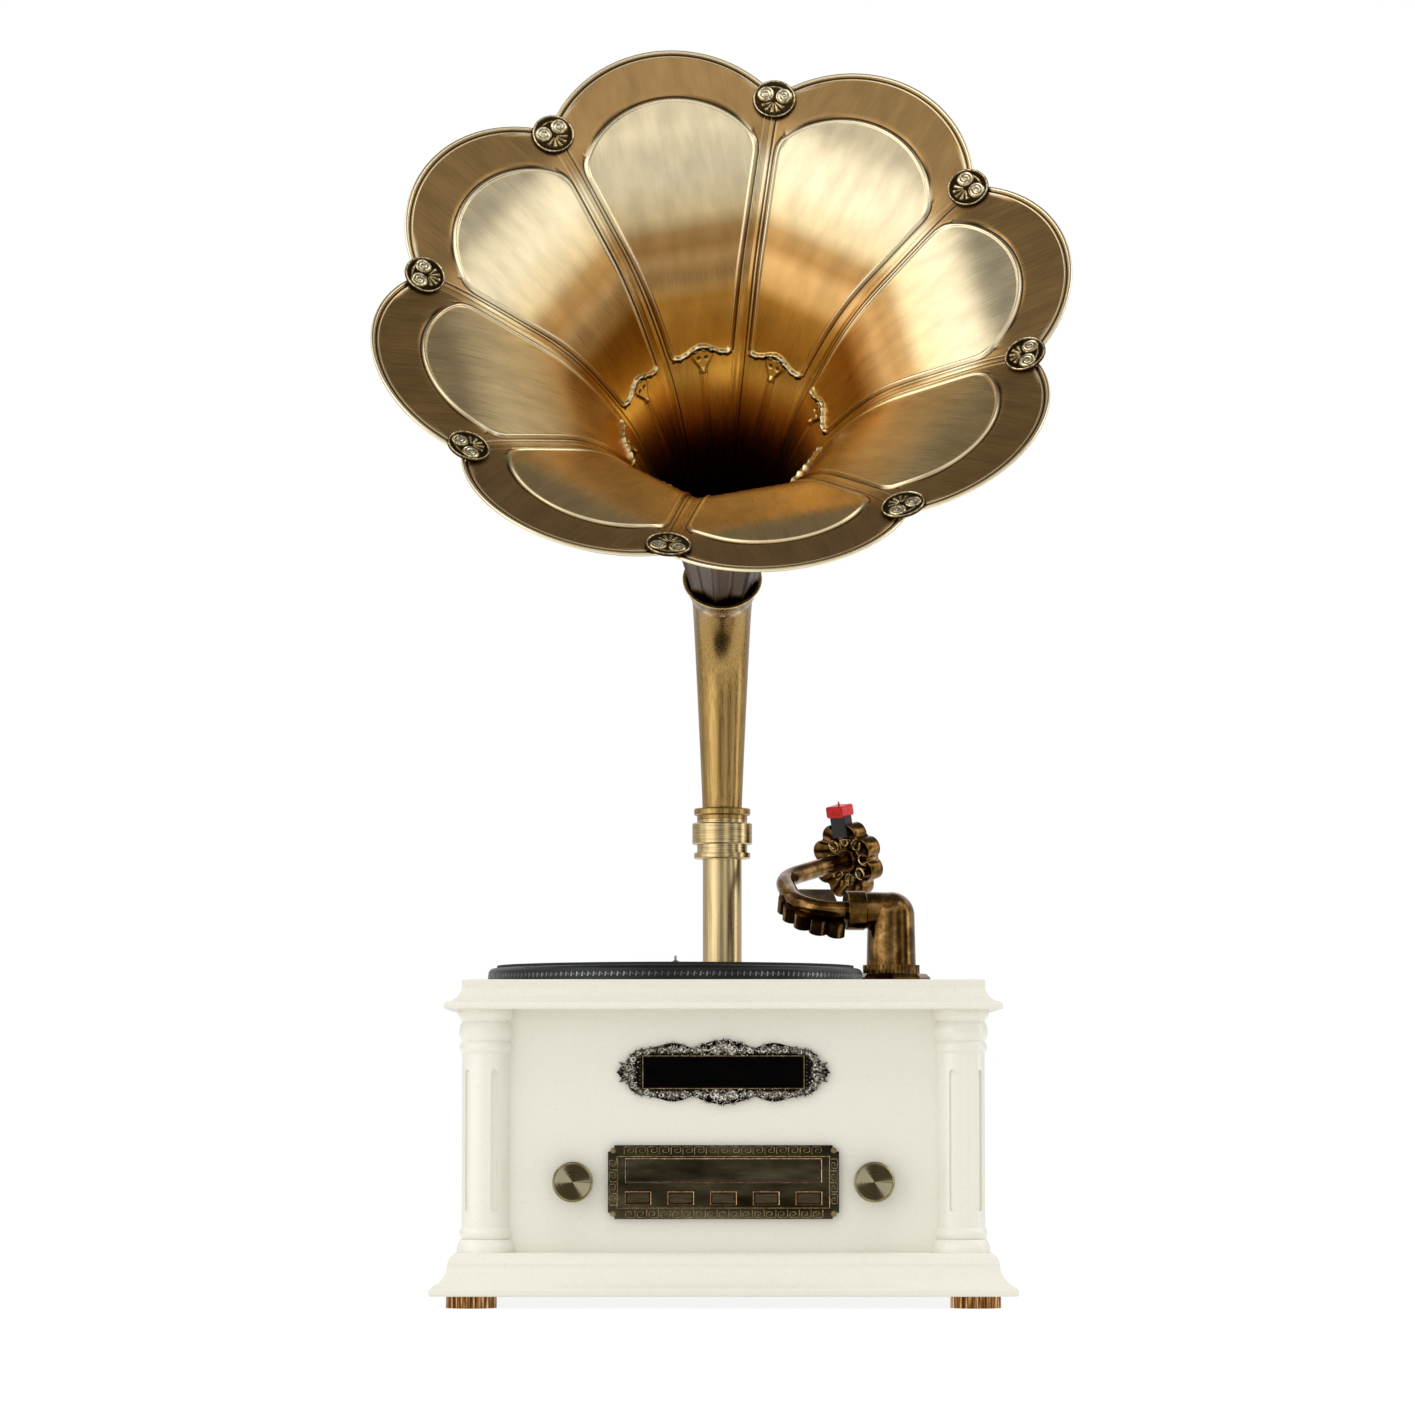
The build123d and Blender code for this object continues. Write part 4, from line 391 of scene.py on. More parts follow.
# Paper floor: it keeps the object's shadow, and shows nearly white to the camera and in the metal
floorMaterial, tree, shader = newMaterial("paperFloor", Roughness=0.9)
shader.inputs["Base Color"].default_value = hexLinear("#f4f4f2")
cameraRay, mirrorRay = rayKinds(tree)
seen = addNode(tree, "ShaderNodeMath", {0: cameraRay, 1: mirrorRay}, operation="MAXIMUM")
share = addNode(tree, "ShaderNodeMath", {0: seen.outputs[0]}, {1: studio["floorWhite"]}, operation="MULTIPLY")
white = addNode(tree, "ShaderNodeEmission", values={"Color": (1, 1, 1, 1), "Strength": studio["floorGlow"]})
blended = addNode(tree, "ShaderNodeMixShader", {"Fac": share.outputs[0], 1: shader.outputs[0], 2: white.outputs[0]})
tree.links.new(blended.outputs[0], tree.nodes["Material Output"].inputs["Surface"])
floorMesh = bpy.data.meshes.new("floor")
rim = [2 * pi * i / 96 for i in range(96)]
floorMesh.from_pydata([(studio["floorRadius"] * cos(a), studio["floorRadius"] * sin(a), 0) for a in rim], [],
                      [tuple(range(96))])
floorMesh.materials.append(floorMaterial)
floor = bpy.data.objects.new("floor", floorMesh)
scene.collection.objects.link(floor)
floor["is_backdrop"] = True
print("camera, lights and floor are set")

# Finishes
# Sprayed ivory lacquer on wood: an even warm white with a soft wet gloss and a faint orange peel of 2 mm
ivoryLacquer = grainedMaterial("sprayedIvoryLacquer", [(0.35, "#ebe8d9"), (0.65, "#eeebdf")], (2.2, 2.2, 2.2),
                               (0.27, 0.31), 0.003, metallic=0.0, Coat_Weight=0.3, Coat_Roughness=0.1)
# Drawn brass tube, lacquered over brushed antique patina: fine streaks along the tube, 0.9 mm wide
brushedTube = grainedMaterial("brushedBrassTube", [(0.3, "#b0935f"), (0.7, "#d9c79d")], (0.9, 0.9, 60),
                              (0.2, 0.32), 0.006)
# The elbow's tube is the same brass under a browner patina
agedTube = grainedMaterial("agedBrassTube", [(0.3, "#876938"), (0.7, "#b8985f")], (0.9, 0.9, 60), (0.22, 0.34), 0.004)
# Turned brass: rings and bands with a bright lathe finish, lines 0.8 mm apart round the piece. Real lathe
# lines are finer, and would not show.
turnedBrass = grainedMaterial("turnedBrass", [(0.3, "#97794a"), (0.7, "#d8c395")], (25, 25, 0.8), (0.16, 0.28), 0.004)
# Copper-toned brass of the knurled feet: painted shade in the cuts and painted highlights on the ridges, in upright
# streaks 1.6 mm wide
paintedKnurlCopper = grainedMaterial("knurledCopperBrass", [(0.36, "#2c160a"), (0.46, "#6a421e"), (0.54, "#96653a"),
                                                       (0.66, "#e3c48d")], (1.6, 1.6, 40), (0.14, 0.24), 0.01)
# Cast antique bronze, polished over a dark patina: brown, smoky and glossy, in patches about 16 mm across
polishedBronze = grainedMaterial("polishedBronze", [(0.3, "#35240f"), (0.5, "#634721"), (0.7, "#a07d50")],
                                 (16, 16, 16), (0.1, 0.2), 0.004)
# Cast zinc with an old-silver and brass wash: near black patina in the hollows, and painted glints on the pale tips
castFrame, tree, shader = newMaterial("washedCastZinc", Metallic=1.0, Roughness=0.3)
place = addNode(tree, "ShaderNodeTexCoord")
parts = addNode(tree, "ShaderNodeSeparateXYZ", {"Vector": place.outputs["Object"]})
rise = addNode(tree, "ShaderNodeMapRange", {"Value": parts.outputs["Y"]},
               {"From Min": (panelFrontY - 1.6) / 1000, "From Max": (panelFrontY - 4.6) / 1000})
# the top stops are painted glints, scattered by the speckle
washedColour(tree, shader, rise.outputs["Result"], 700.0, 2.0,
             [(0.0, "#060505"), (0.19, "#1d1915"), (0.36, "#8b8578"), (0.5, "#f2efe8")])
# Bronze-plated pressed panel, smoky and polished: dark olive brown with long cloudy patches, 60 by 16 mm
smokyBronze = grainedMaterial("smokyBronzePlate", [(0.3, "#2a2313"), (0.5, "#4c4431"), (0.7, "#6a614b")],
                              (60, 60, 16), (0.1, 0.18), 0.01)
# Raised key border, inner frames and screws of the same panel, rubbed brighter, mottled over 3 mm
rubbedBronze = grainedMaterial("rubbedBronzeKey", [(0.3, "#6b5c3b"), (0.7, "#b3a276")], (3, 3, 3), (0.18, 0.3), 0.01)
# Copper-toned bright edges round the buttons and the door
copperEdge = grainedMaterial("polishedCopperEdge", [(0.3, "#8a5a34"), (0.7, "#e0b88c")], (2, 2, 2), (0.12, 0.2), 0.004)
# Push buttons: dark bronze plate, finely brushed across in streaks 0.6 mm high
buttonPlate = grainedMaterial("brushedButtonBronze", [(0.3, "#352d1c"), (0.7, "#5f5440")], (14, 14, 0.6),
                              (0.18, 0.28), 0.004)
# Turned knob sides: bright plated metal with fine lathe lines round it
knobPlate = grainedMaterial("platedKnobMetal", [(0.3, "#5e5538"), (0.7, "#b3a883")], (9, 0.5, 9), (0.14, 0.22), 0.004)
# Smoked acrylic window: nearly black, mirror smooth, with a faint depth of brown
smokedWindow = grainedMaterial("smokedAcrylic", [(0.4, "#010101"), (0.6, "#050302")], (30, 30, 12), (0.03, 0.07),
                               0.001, metallic=0.0, Specular_IOR_Level=0.04)
# Black powder-coated platter: fine grain about 0.9 mm, satin
platterBlack = grainedMaterial("powderCoatedAlloy", [(0.4, "#0c0c0e"), (0.6, "#17181a")], (0.9, 0.9, 0.9),
                               (0.28, 0.4), 0.02, metallic=0.35)
# Bright marks on the platter's edge: machined aluminium
strobeBright = grainedMaterial("machinedAluminium", [(0.35, "#4a4c4f"), (0.65, "#8d9094")], (0.5, 0.5, 6),
                               (0.2, 0.3), 0.003)
# Moulded black ABS: even sheen with a fine spark-eroded grain about 0.8 mm
mouldedBlack = grainedMaterial("mouldedBlackAbs", [(0.4, "#101011"), (0.6, "#1c1c1d")], (0.8, 0.8, 0.8),
                               (0.38, 0.5), 0.02, metallic=0.0)
# Moulded red plastic of the stylus holder: bright, glossy, very slightly uneven
mouldedRed = grainedMaterial("mouldedRedPlastic", [(0.35, "#c3141c"), (0.65, "#e1262d")], (4, 4, 4), (0.22, 0.32),
                             0.004, metallic=0.0)
# Zinc-plated steel: cool grey, drawn lines 0.6 mm apart
platedSteel = grainedMaterial("zincPlatedSteel", [(0.3, "#8e9092"), (0.7, "#c3c5c6")], (0.6, 14, 14),
                              (0.24, 0.36), 0.004)
# Black rear plate: wrinkle powder coat, wrinkles about 1.2 mm
wrinkleBlack = grainedMaterial("wrinklePowderCoat", [(0.35, "#141414"), (0.65, "#242424")], (1.2, 1.2, 1.2),
                               (0.5, 0.65), 0.08, metallic=0.0)
# Nickel-plated jacks: warm bright metal
brightNickel = grainedMaterial("nickelPlate", [(0.35, "#b5b1a6"), (0.65, "#dcd9cf")], (2, 2, 2), (0.12, 0.2), 0.003)
# Epoxy-glass circuit board with its green solder mask
circuitGreen = grainedMaterial("solderMaskBoard", [(0.4, "#0f3a22"), (0.6, "#1c5433")], (6, 6, 6), (0.3, 0.42), 0.01,
                               metallic=0.0)
# Ribbed rubber mat: matt black with broad low rings 15 mm apart
matRubber, tree, shader = newMaterial("ribbedRubber")
place = addNode(tree, "ShaderNodeTexCoord")
centred = addNode(tree, "ShaderNodeMapping", {"Vector": place.outputs["Object"]},
                  {"Location": (-platterX / 1000, -platterY / 1000, 0)})
rings = addNode(tree, "ShaderNodeTexWave", {"Vector": centred.outputs["Vector"]},
                {"Scale": 1000 / 48, "Distortion": 0.0}, wave_type="RINGS", rings_direction="Z")
fine = addNode(tree, "ShaderNodeTexNoise", {"Vector": place.outputs["Object"]}, {"Scale": 900.0, "Detail": 3.0})
shade = addNode(tree, "ShaderNodeValToRGB", {"Fac": fine.outputs["Fac"]})
tree.links.new(colourStops(shade, [(0.35, "#0e0e10"), (0.65, "#1b1b1e")]), shader.inputs["Base Color"])
relief = addNode(tree, "ShaderNodeBump", {"Height": rings.outputs["Fac"]}, {"Distance": 0.0004})
tree.links.new(relief.outputs["Normal"], shader.inputs["Normal"])
dull = addNode(tree, "ShaderNodeMapRange", {"Value": fine.outputs["Fac"]}, {"To Min": 0.55, "To Max": 0.8})
tree.links.new(dull.outputs["Result"], shader.inputs["Roughness"])

# Sheet brass of the petals: brushed from rim to throat, antiqued, then lacquered. The streaks follow the petal's own
# map. Painted reflections lie in rings down each petal and painted shade darkens the throat; painted shade also lies in
# the pressed grooves, in the seams and on the borders, and painted highlights on the ridges.
petalBrass, tree, shader = newMaterial("brushedSheetBrass", Metallic=1.0, Anisotropic=0.55)
along = addNode(tree, "ShaderNodeUVMap", uv_map="brushing")
streakScale = addNode(tree, "ShaderNodeMapping", {"Vector": along.outputs["UV"]}, {"Scale": (1 / 0.9, 1 / 55, 1)})
streaks = addNode(tree, "ShaderNodeTexNoise", {"Vector": streakScale.outputs["Vector"]},
                  {"Scale": 1.0, "Detail": 4.0, "Roughness": 0.65})
patchScale = addNode(tree, "ShaderNodeMapping", {"Vector": along.outputs["UV"]}, {"Scale": (1 / 14, 1 / 40, 1)})
patches = addNode(tree, "ShaderNodeTexNoise", {"Vector": patchScale.outputs["Vector"]},
                  {"Scale": 1.0, "Detail": 2.0, "Roughness": 0.5})
# painted light marks: red is painted shade in the grooves, green a painted highlight on the ridges, blue painted shade
# on the border, alpha the high petals' painted reflections
finish = addNode(tree, "ShaderNodeAttribute", attribute_name="finish")
marks = addNode(tree, "ShaderNodeSeparateColor", {"Color": finish.outputs["Color"]})
parts = addNode(tree, "ShaderNodeSeparateXYZ", {"Vector": along.outputs["UV"]})
depth = addNode(tree, "ShaderNodeMapRange", {"Value": parts.outputs["Y"]}, {"From Min": -200.0, "From Max": 280.0})
# painted reflections and painted shade by depth: dark down the throat towards the neck, a bright ring above it, darker
# rings half way up, pale towards the rim
sheet = addNode(tree, "ShaderNodeValToRGB", {"Fac": depth.outputs["Result"]})
colourStops(sheet, [(0.0, "#6b4218"), (0.29, "#8a5a22"), (0.36, "#d8a860"), (0.45, "#fbd98c"), (0.5, "#cc9c48"),
                    (0.575, "#a8762f"), (0.6, "#c09355"), (0.64, "#c69a60"), (0.665, "#a87c45"), (0.69, "#b08a55"),
                    (0.72, "#e0c795"), (0.78, "#f0dfb8"), (1.0, "#f0deb6")])
# the low petals get paler painted reflections: they have no painted dark ring half way down
lowPetalReflections = addNode(tree, "ShaderNodeValToRGB", {"Fac": depth.outputs["Result"]})
colourStops(lowPetalReflections, [(0.0, "#6b4218"), (0.29, "#8a5a22"), (0.36, "#d8a860"), (0.45, "#fbd98c"), (0.5, "#d8a855"),
                         (0.6, "#dcb674"), (0.7, "#e2c68f"), (0.78, "#dcc08a"), (1.0, "#caa972")])
sheet = addNode(tree, "ShaderNodeMix", {"Factor": finish.outputs["Alpha"], "A": lowPetalReflections.outputs["Color"],
                                        "B": sheet.outputs["Color"]}, data_type="RGBA", blend_type="MIX")
# painted shade on the flared border
border = addNode(tree, "ShaderNodeMix", {"Factor": marks.outputs["Blue"], "A": sheet.outputs["Result"]},
                 {"B": hexLinear("#ab8550")}, data_type="RGBA", blend_type="MIX")
streaked = addNode(tree, "ShaderNodeMapRange", {"Value": streaks.outputs["Fac"]},
                   {"From Min": 0.25, "From Max": 0.75, "To Min": 0.84, "To Max": 1.08})
brushed = addNode(tree, "ShaderNodeMix", {"A": border.outputs["Result"], "B": streaked.outputs["Result"]},
                  {"Factor": 1.0}, data_type="RGBA", blend_type="MULTIPLY")
patchy = addNode(tree, "ShaderNodeMapRange", {"Value": patches.outputs["Fac"]},
                 {"From Min": 0.3, "From Max": 0.7, "To Min": 0.82, "To Max": 1.06})
aged = addNode(tree, "ShaderNodeMix", {"A": brushed.outputs["Result"], "B": patchy.outputs["Result"]},
               {"Factor": 1.0}, data_type="RGBA", blend_type="MULTIPLY")
# painted highlight on the beads, the rim line, the bracket and the rim roll
highlighted = addNode(tree, "ShaderNodeMix", {"Factor": marks.outputs["Green"], "A": aged.outputs["Result"]},
                   {"B": hexLinear("#f1e4c2")}, data_type="RGBA", blend_type="MIX")
# painted shade in the grooves and the seam's gap
shadedGrooves = addNode(tree, "ShaderNodeMix", {"Factor": marks.outputs["Red"], "A": highlighted.outputs["Result"]},
                  {"B": hexLinear("#150c05")}, data_type="RGBA", blend_type="MIX")
tree.links.new(shadedGrooves.outputs["Result"], shader.inputs["Base Color"])
brushGloss = addNode(tree, "ShaderNodeMapRange", {"Value": streaks.outputs["Fac"]},
                     {"From Min": 0.3, "From Max": 0.7, "To Min": 0.24, "To Max": 0.38})
tree.links.new(brushGloss.outputs["Result"], shader.inputs["Roughness"])
relief = addNode(tree, "ShaderNodeBump", {"Height": streaks.outputs["Fac"]}, {"Strength": 0.6, "Distance": 0.00002})
tree.links.new(relief.outputs["Normal"], shader.inputs["Normal"])
brushWay = addNode(tree, "ShaderNodeTangent", direction_type="UV_MAP", uv_map="brushing")
tree.links.new(brushWay.outputs["Tangent"], shader.inputs["Tangent"])

# Spun knob faces: turned grooves 0.35 mm apart, with a painted highlight in two opposite rays
spunFace, tree, shader = newMaterial("spunBronzeFace", Metallic=1.0, Roughness=0.32, Anisotropic=0.85)
along = addNode(tree, "ShaderNodeUVMap", uv_map="spinning")
grooves = addNode(tree, "ShaderNodeMapping", {"Vector": along.outputs["UV"]}, {"Scale": (1 / 0.35, 1 / 40, 1)})
lines = addNode(tree, "ShaderNodeTexNoise", {"Vector": grooves.outputs["Vector"]}, {"Scale": 1.0, "Detail": 2.0})
place = addNode(tree, "ShaderNodeSeparateXYZ", {"Vector": along.outputs["UV"]})
# painted highlight: two opposite bright rays round the face, the glint of a spun face
angle = addNode(tree, "ShaderNodeMath", {0: place.outputs["Y"]}, {1: 2 * pi / 48, 2: radians(25)},
                operation="MULTIPLY_ADD")
ray = addNode(tree, "ShaderNodeMath", {0: angle.outputs[0]}, operation="COSINE")
ray = addNode(tree, "ShaderNodeMath", {0: ray.outputs[0]}, operation="ABSOLUTE")
ray = addNode(tree, "ShaderNodeMath", {0: ray.outputs[0]}, {1: 7.0}, operation="POWER")
paintedGlints = addNode(tree, "ShaderNodeMath", {0: lines.outputs["Fac"], 1: ray.outputs[0]}, operation="ADD")
tone = addNode(tree, "ShaderNodeValToRGB", {"Fac": paintedGlints.outputs[0]})
tree.links.new(colourStops(tone, [(0.3, "#2c2616"), (0.7, "#544b33"), (1.0, "#a79e80")]),
               shader.inputs["Base Color"])
spinWay = addNode(tree, "ShaderNodeTangent", direction_type="UV_MAP", uv_map="spinning")
tree.links.new(spinWay.outputs["Tangent"], shader.inputs["Tangent"])
# Antiqued cast medallions: black-brown in the hollows, rubbed pale brass on the lines
medallionBrass, tree, shader = newMaterial("antiquedCastBrass", Metallic=1.0, Roughness=0.27)
rise = addNode(tree, "ShaderNodeAttribute", attribute_name="rise")
washedColour(tree, shader, rise.outputs["Fac"], 500.0, 3.0,
             [(0.03, "#2a1e10"), (0.16, "#6b5733"), (0.34, "#a8905c"), (0.5, "#f1e6c8")])
print("finishes are made")

# The bell: eight pressed petals, each flat across and curved from rim to neck. A petal's own line is half
# its width across the flats against depth; its border rises from the ring of medallions to the rim.
bell = {"curve": [(216, 2.02), (200, 10), (176, 26), (150, 45), (128, 62), (110, 81), (96, 101), (83, 123),
                  (72, 144), (62, 168), (50, 206), (40, 249), (32.5, 285), (25.2, 321), (20.79, 340.4)],
        "count": 8, "turn": 12.4, "ring": 221.27, "rise": radians(21.0), "lobeCentre": -48.36, "lobeRadius": 106.46,
        "sheet": 1.2, "rimRoll": 1.54, "panelSide": 7.8, "panelArc": 78.3, "panelArcCentre": -60.7, "zero": 225.0,
        "rollHeight": 1.25, "rollWidth": 2.1}
seamSpread = np.tan(pi / bell["count"])


# The petal's line as a smooth spline through its points, sampled by its own length
def bellLine():
    knots = np.array(bell["curve"], float)
    spans = np.hypot(*np.diff(knots, axis=0).T)
    places = np.concatenate([[0], np.cumsum(spans)])
    n = len(knots)
    matrix, wanted = np.zeros((n, n)), np.zeros((n, 2))
    matrix[0, 0] = matrix[-1, -1] = 1
    wanted[0] = (-cos(bell["rise"]), sin(bell["rise"]))
    wanted[-1] = np.array([-4.41, 19.4]) / hypot(4.41, 19.4)
    for i in range(1, n - 1):
        before, after = spans[i - 1], spans[i]
        matrix[i, i - 1:i + 2] = after, 2 * (before + after), before
        wanted[i] = 3 * (after * (knots[i] - knots[i - 1]) / before + before * (knots[i + 1] - knots[i]) / after)
    slopes = np.linalg.solve(matrix, wanted)
    samples = np.linspace(0, places[-1], 6000)
    which = np.clip(np.searchsorted(places, samples, "right") - 1, 0, n - 2)
    width = spans[which]
    t = ((samples - places[which]) / width)[:, None]
    width = width[:, None]
    line = ((2 * t ** 3 - 3 * t ** 2 + 1) * knots[which] + (t ** 3 - 2 * t ** 2 + t) * width * slopes[which]
            + (3 * t ** 2 - 2 * t ** 3) * knots[which + 1] + (t ** 3 - t ** 2) * width * slopes[which + 1])
    length = np.concatenate([[0], np.cumsum(np.hypot(*np.diff(line, axis=0).T))])
    place = (bell["curve"][0][0] - bell["ring"]) / cos(bell["rise"]) - length
    slope = np.gradient(line, -length, axis=0)
    return place[::-1], line[::-1, 0], line[::-1, 1], slope[::-1, 0], slope[::-1, 1]


linePlace, lineHalf, lineDepth, lineOut, lineIn = bellLine()
neckPlace, borderPlace = linePlace[0], linePlace[-1]


# Half the width across the flats at a place on the petal's line: 0 at the ring of medallions, negative inwards
def halfAt(l):
    return np.where(l > borderPlace, bell["ring"] + l * cos(bell["rise"]), np.interp(l, linePlace, lineHalf))


def smoothStep(low, high, value):
    t = np.clip((value - low) / (high - low), 0, 1)
    return t * t * (3 - 2 * t)


# A round ridge: 1 on its line, 0 at its width to either side
def roll(distance, width):
    return np.where(np.abs(distance) < width, 0.5 + 0.5 * np.cos(pi * distance / width), 0)


# The lesser of two distances, rounded over k where they meet
def softMin(a, b, k):
    h = np.clip(0.5 + 0.5 * (b - a) / k, 0, 1)
    return b * (1 - h) + a * h - k * h * (1 - h)


# The pressing: places and heights in mm, from the seam, the foot of the panel and the rim
press = {"panelRise": 0.4, "footAt": 31, "footWave": 3.8, "footHalf": 24, "outerGroove": 0.6, "lapWide": 3.2,
         "lapHigh": 0.55, "gapAt": 3.9, "gapDeep": 0.5, "creaseAt": 5.6, "creaseHigh": 0.3, "rimGrooveAt": 2.7,
         "rimGrooveDeep": 0.6, "rimLineAt": 4.3, "rimLineHigh": 0.4, "bracketHigh": 2.6, "shieldFoot": 13.5,
         "shieldTop": 33, "shieldHigh": 1.5, "dimpleAt": (3.1, 26), "dimpleDeep": 1.1, "ribHigh": 1.5}


# Height of the pressing above the plain sheet, and its painted light: shade in the grooves, a highlight on the ridges,
# shade on the border
def pressing(x, place):
    l = place + bell["zero"]
    half = halfAt(place) * seamSpread
    f = np.clip(half / 30, 0, 1)      # details shrink where the petal narrows to its neck
    slim = 0.4 + 0.6 * f
    s = half - np.abs(x)
    sideDistance = s - bell["panelSide"] * f
    arcDistance = np.where(place > -75, bell["panelArc"] - np.hypot(x, place - bell["panelArcCentre"]), 99.0)
    u = x / press["footHalf"]
    lowDistance = l - (press["footAt"] + press["footWave"] * np.cos(pi * u / 0.85))
    d = softMin(softMin(sideDistance, arcDistance, 7.0), lowDistance, 3.0)
    width = bell["rollWidth"] * (0.6 + 0.4 * f)
    beside = roll(d - 1.8, width)
    height = press["panelRise"] * smoothStep(0, 2.5, d) + bell["rollHeight"] * (0.5 + 0.5 * f) * beside
    outside = roll(d + 1.0, 1.1)
    height -= press["outerGroove"] * outside
    # the seam: one petal's flange lies over the next one's edge
    lap = press["lapWide"] * f
    over = np.where(x > 0, 1 - smoothStep(lap - 0.35, lap + 0.15, s), 1 - smoothStep(1.5 * f, 6 * f, s))
    gap = np.where(x > 0, roll(s - press["gapAt"] * f, slim), 0)
    height += press["lapHigh"] * over * slim - press["gapDeep"] * gap
    crease = roll(s - press["creaseAt"] * f, 0.9 * f)
    height += press["creaseHigh"] * crease * (x <= 0)
    # the rolled rim: a groove with painted shade and a fine ridge with a painted highlight inside the roll
    inward = bell["lobeRadius"] - np.hypot(x, place - bell["lobeCentre"])
    nearRim = place > -40
    rimGroove = np.where(nearRim, roll(inward - press["rimGrooveAt"], 1.2), 0)
    rimLine = np.where(nearRim, roll(inward - press["rimLineAt"], 0.8), 0)
    height += press["rimLineHigh"] * rimLine - press["rimGrooveDeep"] * rimGroove
    # bracket at the foot of each panel, which carries a painted highlight, the shield under it and the rib down the
    # throat
    wave = 0.5 * np.sin(2 * pi * x / 6.5)
    bracket = roll(lowDistance - wave - 0.4, 3.0) * smoothStep(-1.0, 1.5, sideDistance) * (np.abs(l) < 60)
    height += press["bracketHigh"] * bracket
    shieldHalf = 2.0 + 6.5 * smoothStep(14, 29, l)
    shield = np.minimum(np.minimum(shieldHalf - np.abs(x), press["shieldTop"] - l), l - press["shieldFoot"])
    onShield = smoothStep(0, 1.6, shield)
    dimpleX, dimpleL = press["dimpleAt"]
    dimples = sum(smoothStep(2.2, 1.0, np.hypot(x - side, l - dimpleL)) for side in (-dimpleX, dimpleX))
    edge = roll(shield - 0.9, 1.0)
    height += onShield * press["shieldHigh"] + 0.5 * edge - press["dimpleDeep"] * dimples * onShield
    ribHalf = 1.5 * f + 0.5
    rib = roll(x, ribHalf * 1.3) * smoothStep(19, 15, l)
    height += press["ribHigh"] * (0.3 + 0.7 * f) * rib
    # painted shade: darkening in the grooves, the seam's gap, the rim groove, round the shield, in the dimples, under
    # the bracket and beside the rib
    grooveShade = np.clip(0.95 * outside + 0.9 * gap + 0.95 * rimGroove + 0.6 * roll(shield + 0.9, 1.1)
                     + 0.8 * dimples * onShield
                     + 0.9 * roll(lowDistance - wave + 2.3, 1.2) * (np.abs(u) < 1.05) * (l < 60)
                     + 0.5 * roll(x - ribHalf * 1.6, 0.7) * (l < 15)
                     + 0.5 * roll(x + ribHalf * 1.6, 0.7) * (l < 15), 0, 1)
    # painted highlight along the beads, the rim line, the bracket and the crease
    ridgeHighlight = np.clip(0.75 * beside * smoothStep(60, 140, l) + 0.25 * beside + rimLine + bracket + 0.25 * crease, 0, 1)
    # painted shade on the flared border
    borderShade = np.clip(1 - smoothStep(-1.0, 0.5, d), 0, 1) * smoothStep(170, 200, l) * 0.95
    return height, grooveShade, ridgeHighlight, borderShade


# Petal in its own plane: columns crowd at the seams, rows follow the panel's arc and the rim
def petalGrid():
    nearSeam = np.concatenate([np.linspace(0, 1.6, 5), np.linspace(2.0, 4.8, 10), np.linspace(5.2, 7.2, 6),
                               np.linspace(7.6, 12.4, 13), [13.4]])
    inner = np.linspace(0, 1, 27)[:-1]
    perHalf = len(nearSeam) + len(inner)
    # rows in each stretch from the neck up the throat, over the panel's arc and out to the rim
    counts = [10, 40, 74, 26, 6, 20, 10, 18]
    rows = sum(counts)
    x = np.zeros((rows + 1, 2 * perHalf - 1))
    # rows follow from the columns and columns from the rows: six passes settle both
    for _ in range(6):
        arc = bell["panelArcCentre"] + np.sqrt(np.maximum((bell["panelArc"] - 1.8) ** 2 - x ** 2, 34.0 ** 2))
        lobe = bell["lobeCentre"] + np.sqrt(np.maximum(bell["lobeRadius"] ** 2 - x ** 2, 0))
        stops = [np.full_like(arc, neckPlace), np.full_like(arc, -375.0), np.full_like(arc, -215.0),
                 np.full_like(arc, -179.0), arc - 14, arc - 4, arc + 4, lobe - 6.5, lobe]
        pieces, row = [], 0
        for low, high, count in zip(stops, stops[1:], counts):
            t = (np.arange(count) / count)[:, None]
            pieces.append(low[row:row + count] * (1 - t) + high[row:row + count] * t)
            row += count
        pieces.append(lobe[row:row + 1])
        l = np.concatenate(pieces)
        half = halfAt(l) * seamSpread * 0.9985
        f = np.clip(half / 30, 0, 1)
        for j in range(perHalf):
            for way in (1, -1):
                column = perHalf - 1 + way * j
                wide, small = half[:, column], f[:, column]
                edge = wide - nearSeam[-1] * small
                x[:, column] = way * (inner[j] * edge if j < len(inner)
                                      else wide - nearSeam[::-1][j - len(inner)] * small)
    return x, l


# The point at x across and l along the petal, lifted off its sheet towards the inside of the bell
def petalSurface(x, l, lift):
    onBorder = l > borderPlace
    depth = np.where(onBorder, -l * sin(bell["rise"]), np.interp(l, linePlace, lineDepth))
    outward = np.where(onBorder, cos(bell["rise"]), np.interp(l, linePlace, lineOut))
    inward = np.where(onBorder, -sin(bell["rise"]), np.interp(l, linePlace, lineIn))
    half = halfAt(l) + lift * inward
    return np.stack([-x * half / halfAt(l), half, -depth + lift * outward], axis=-1)


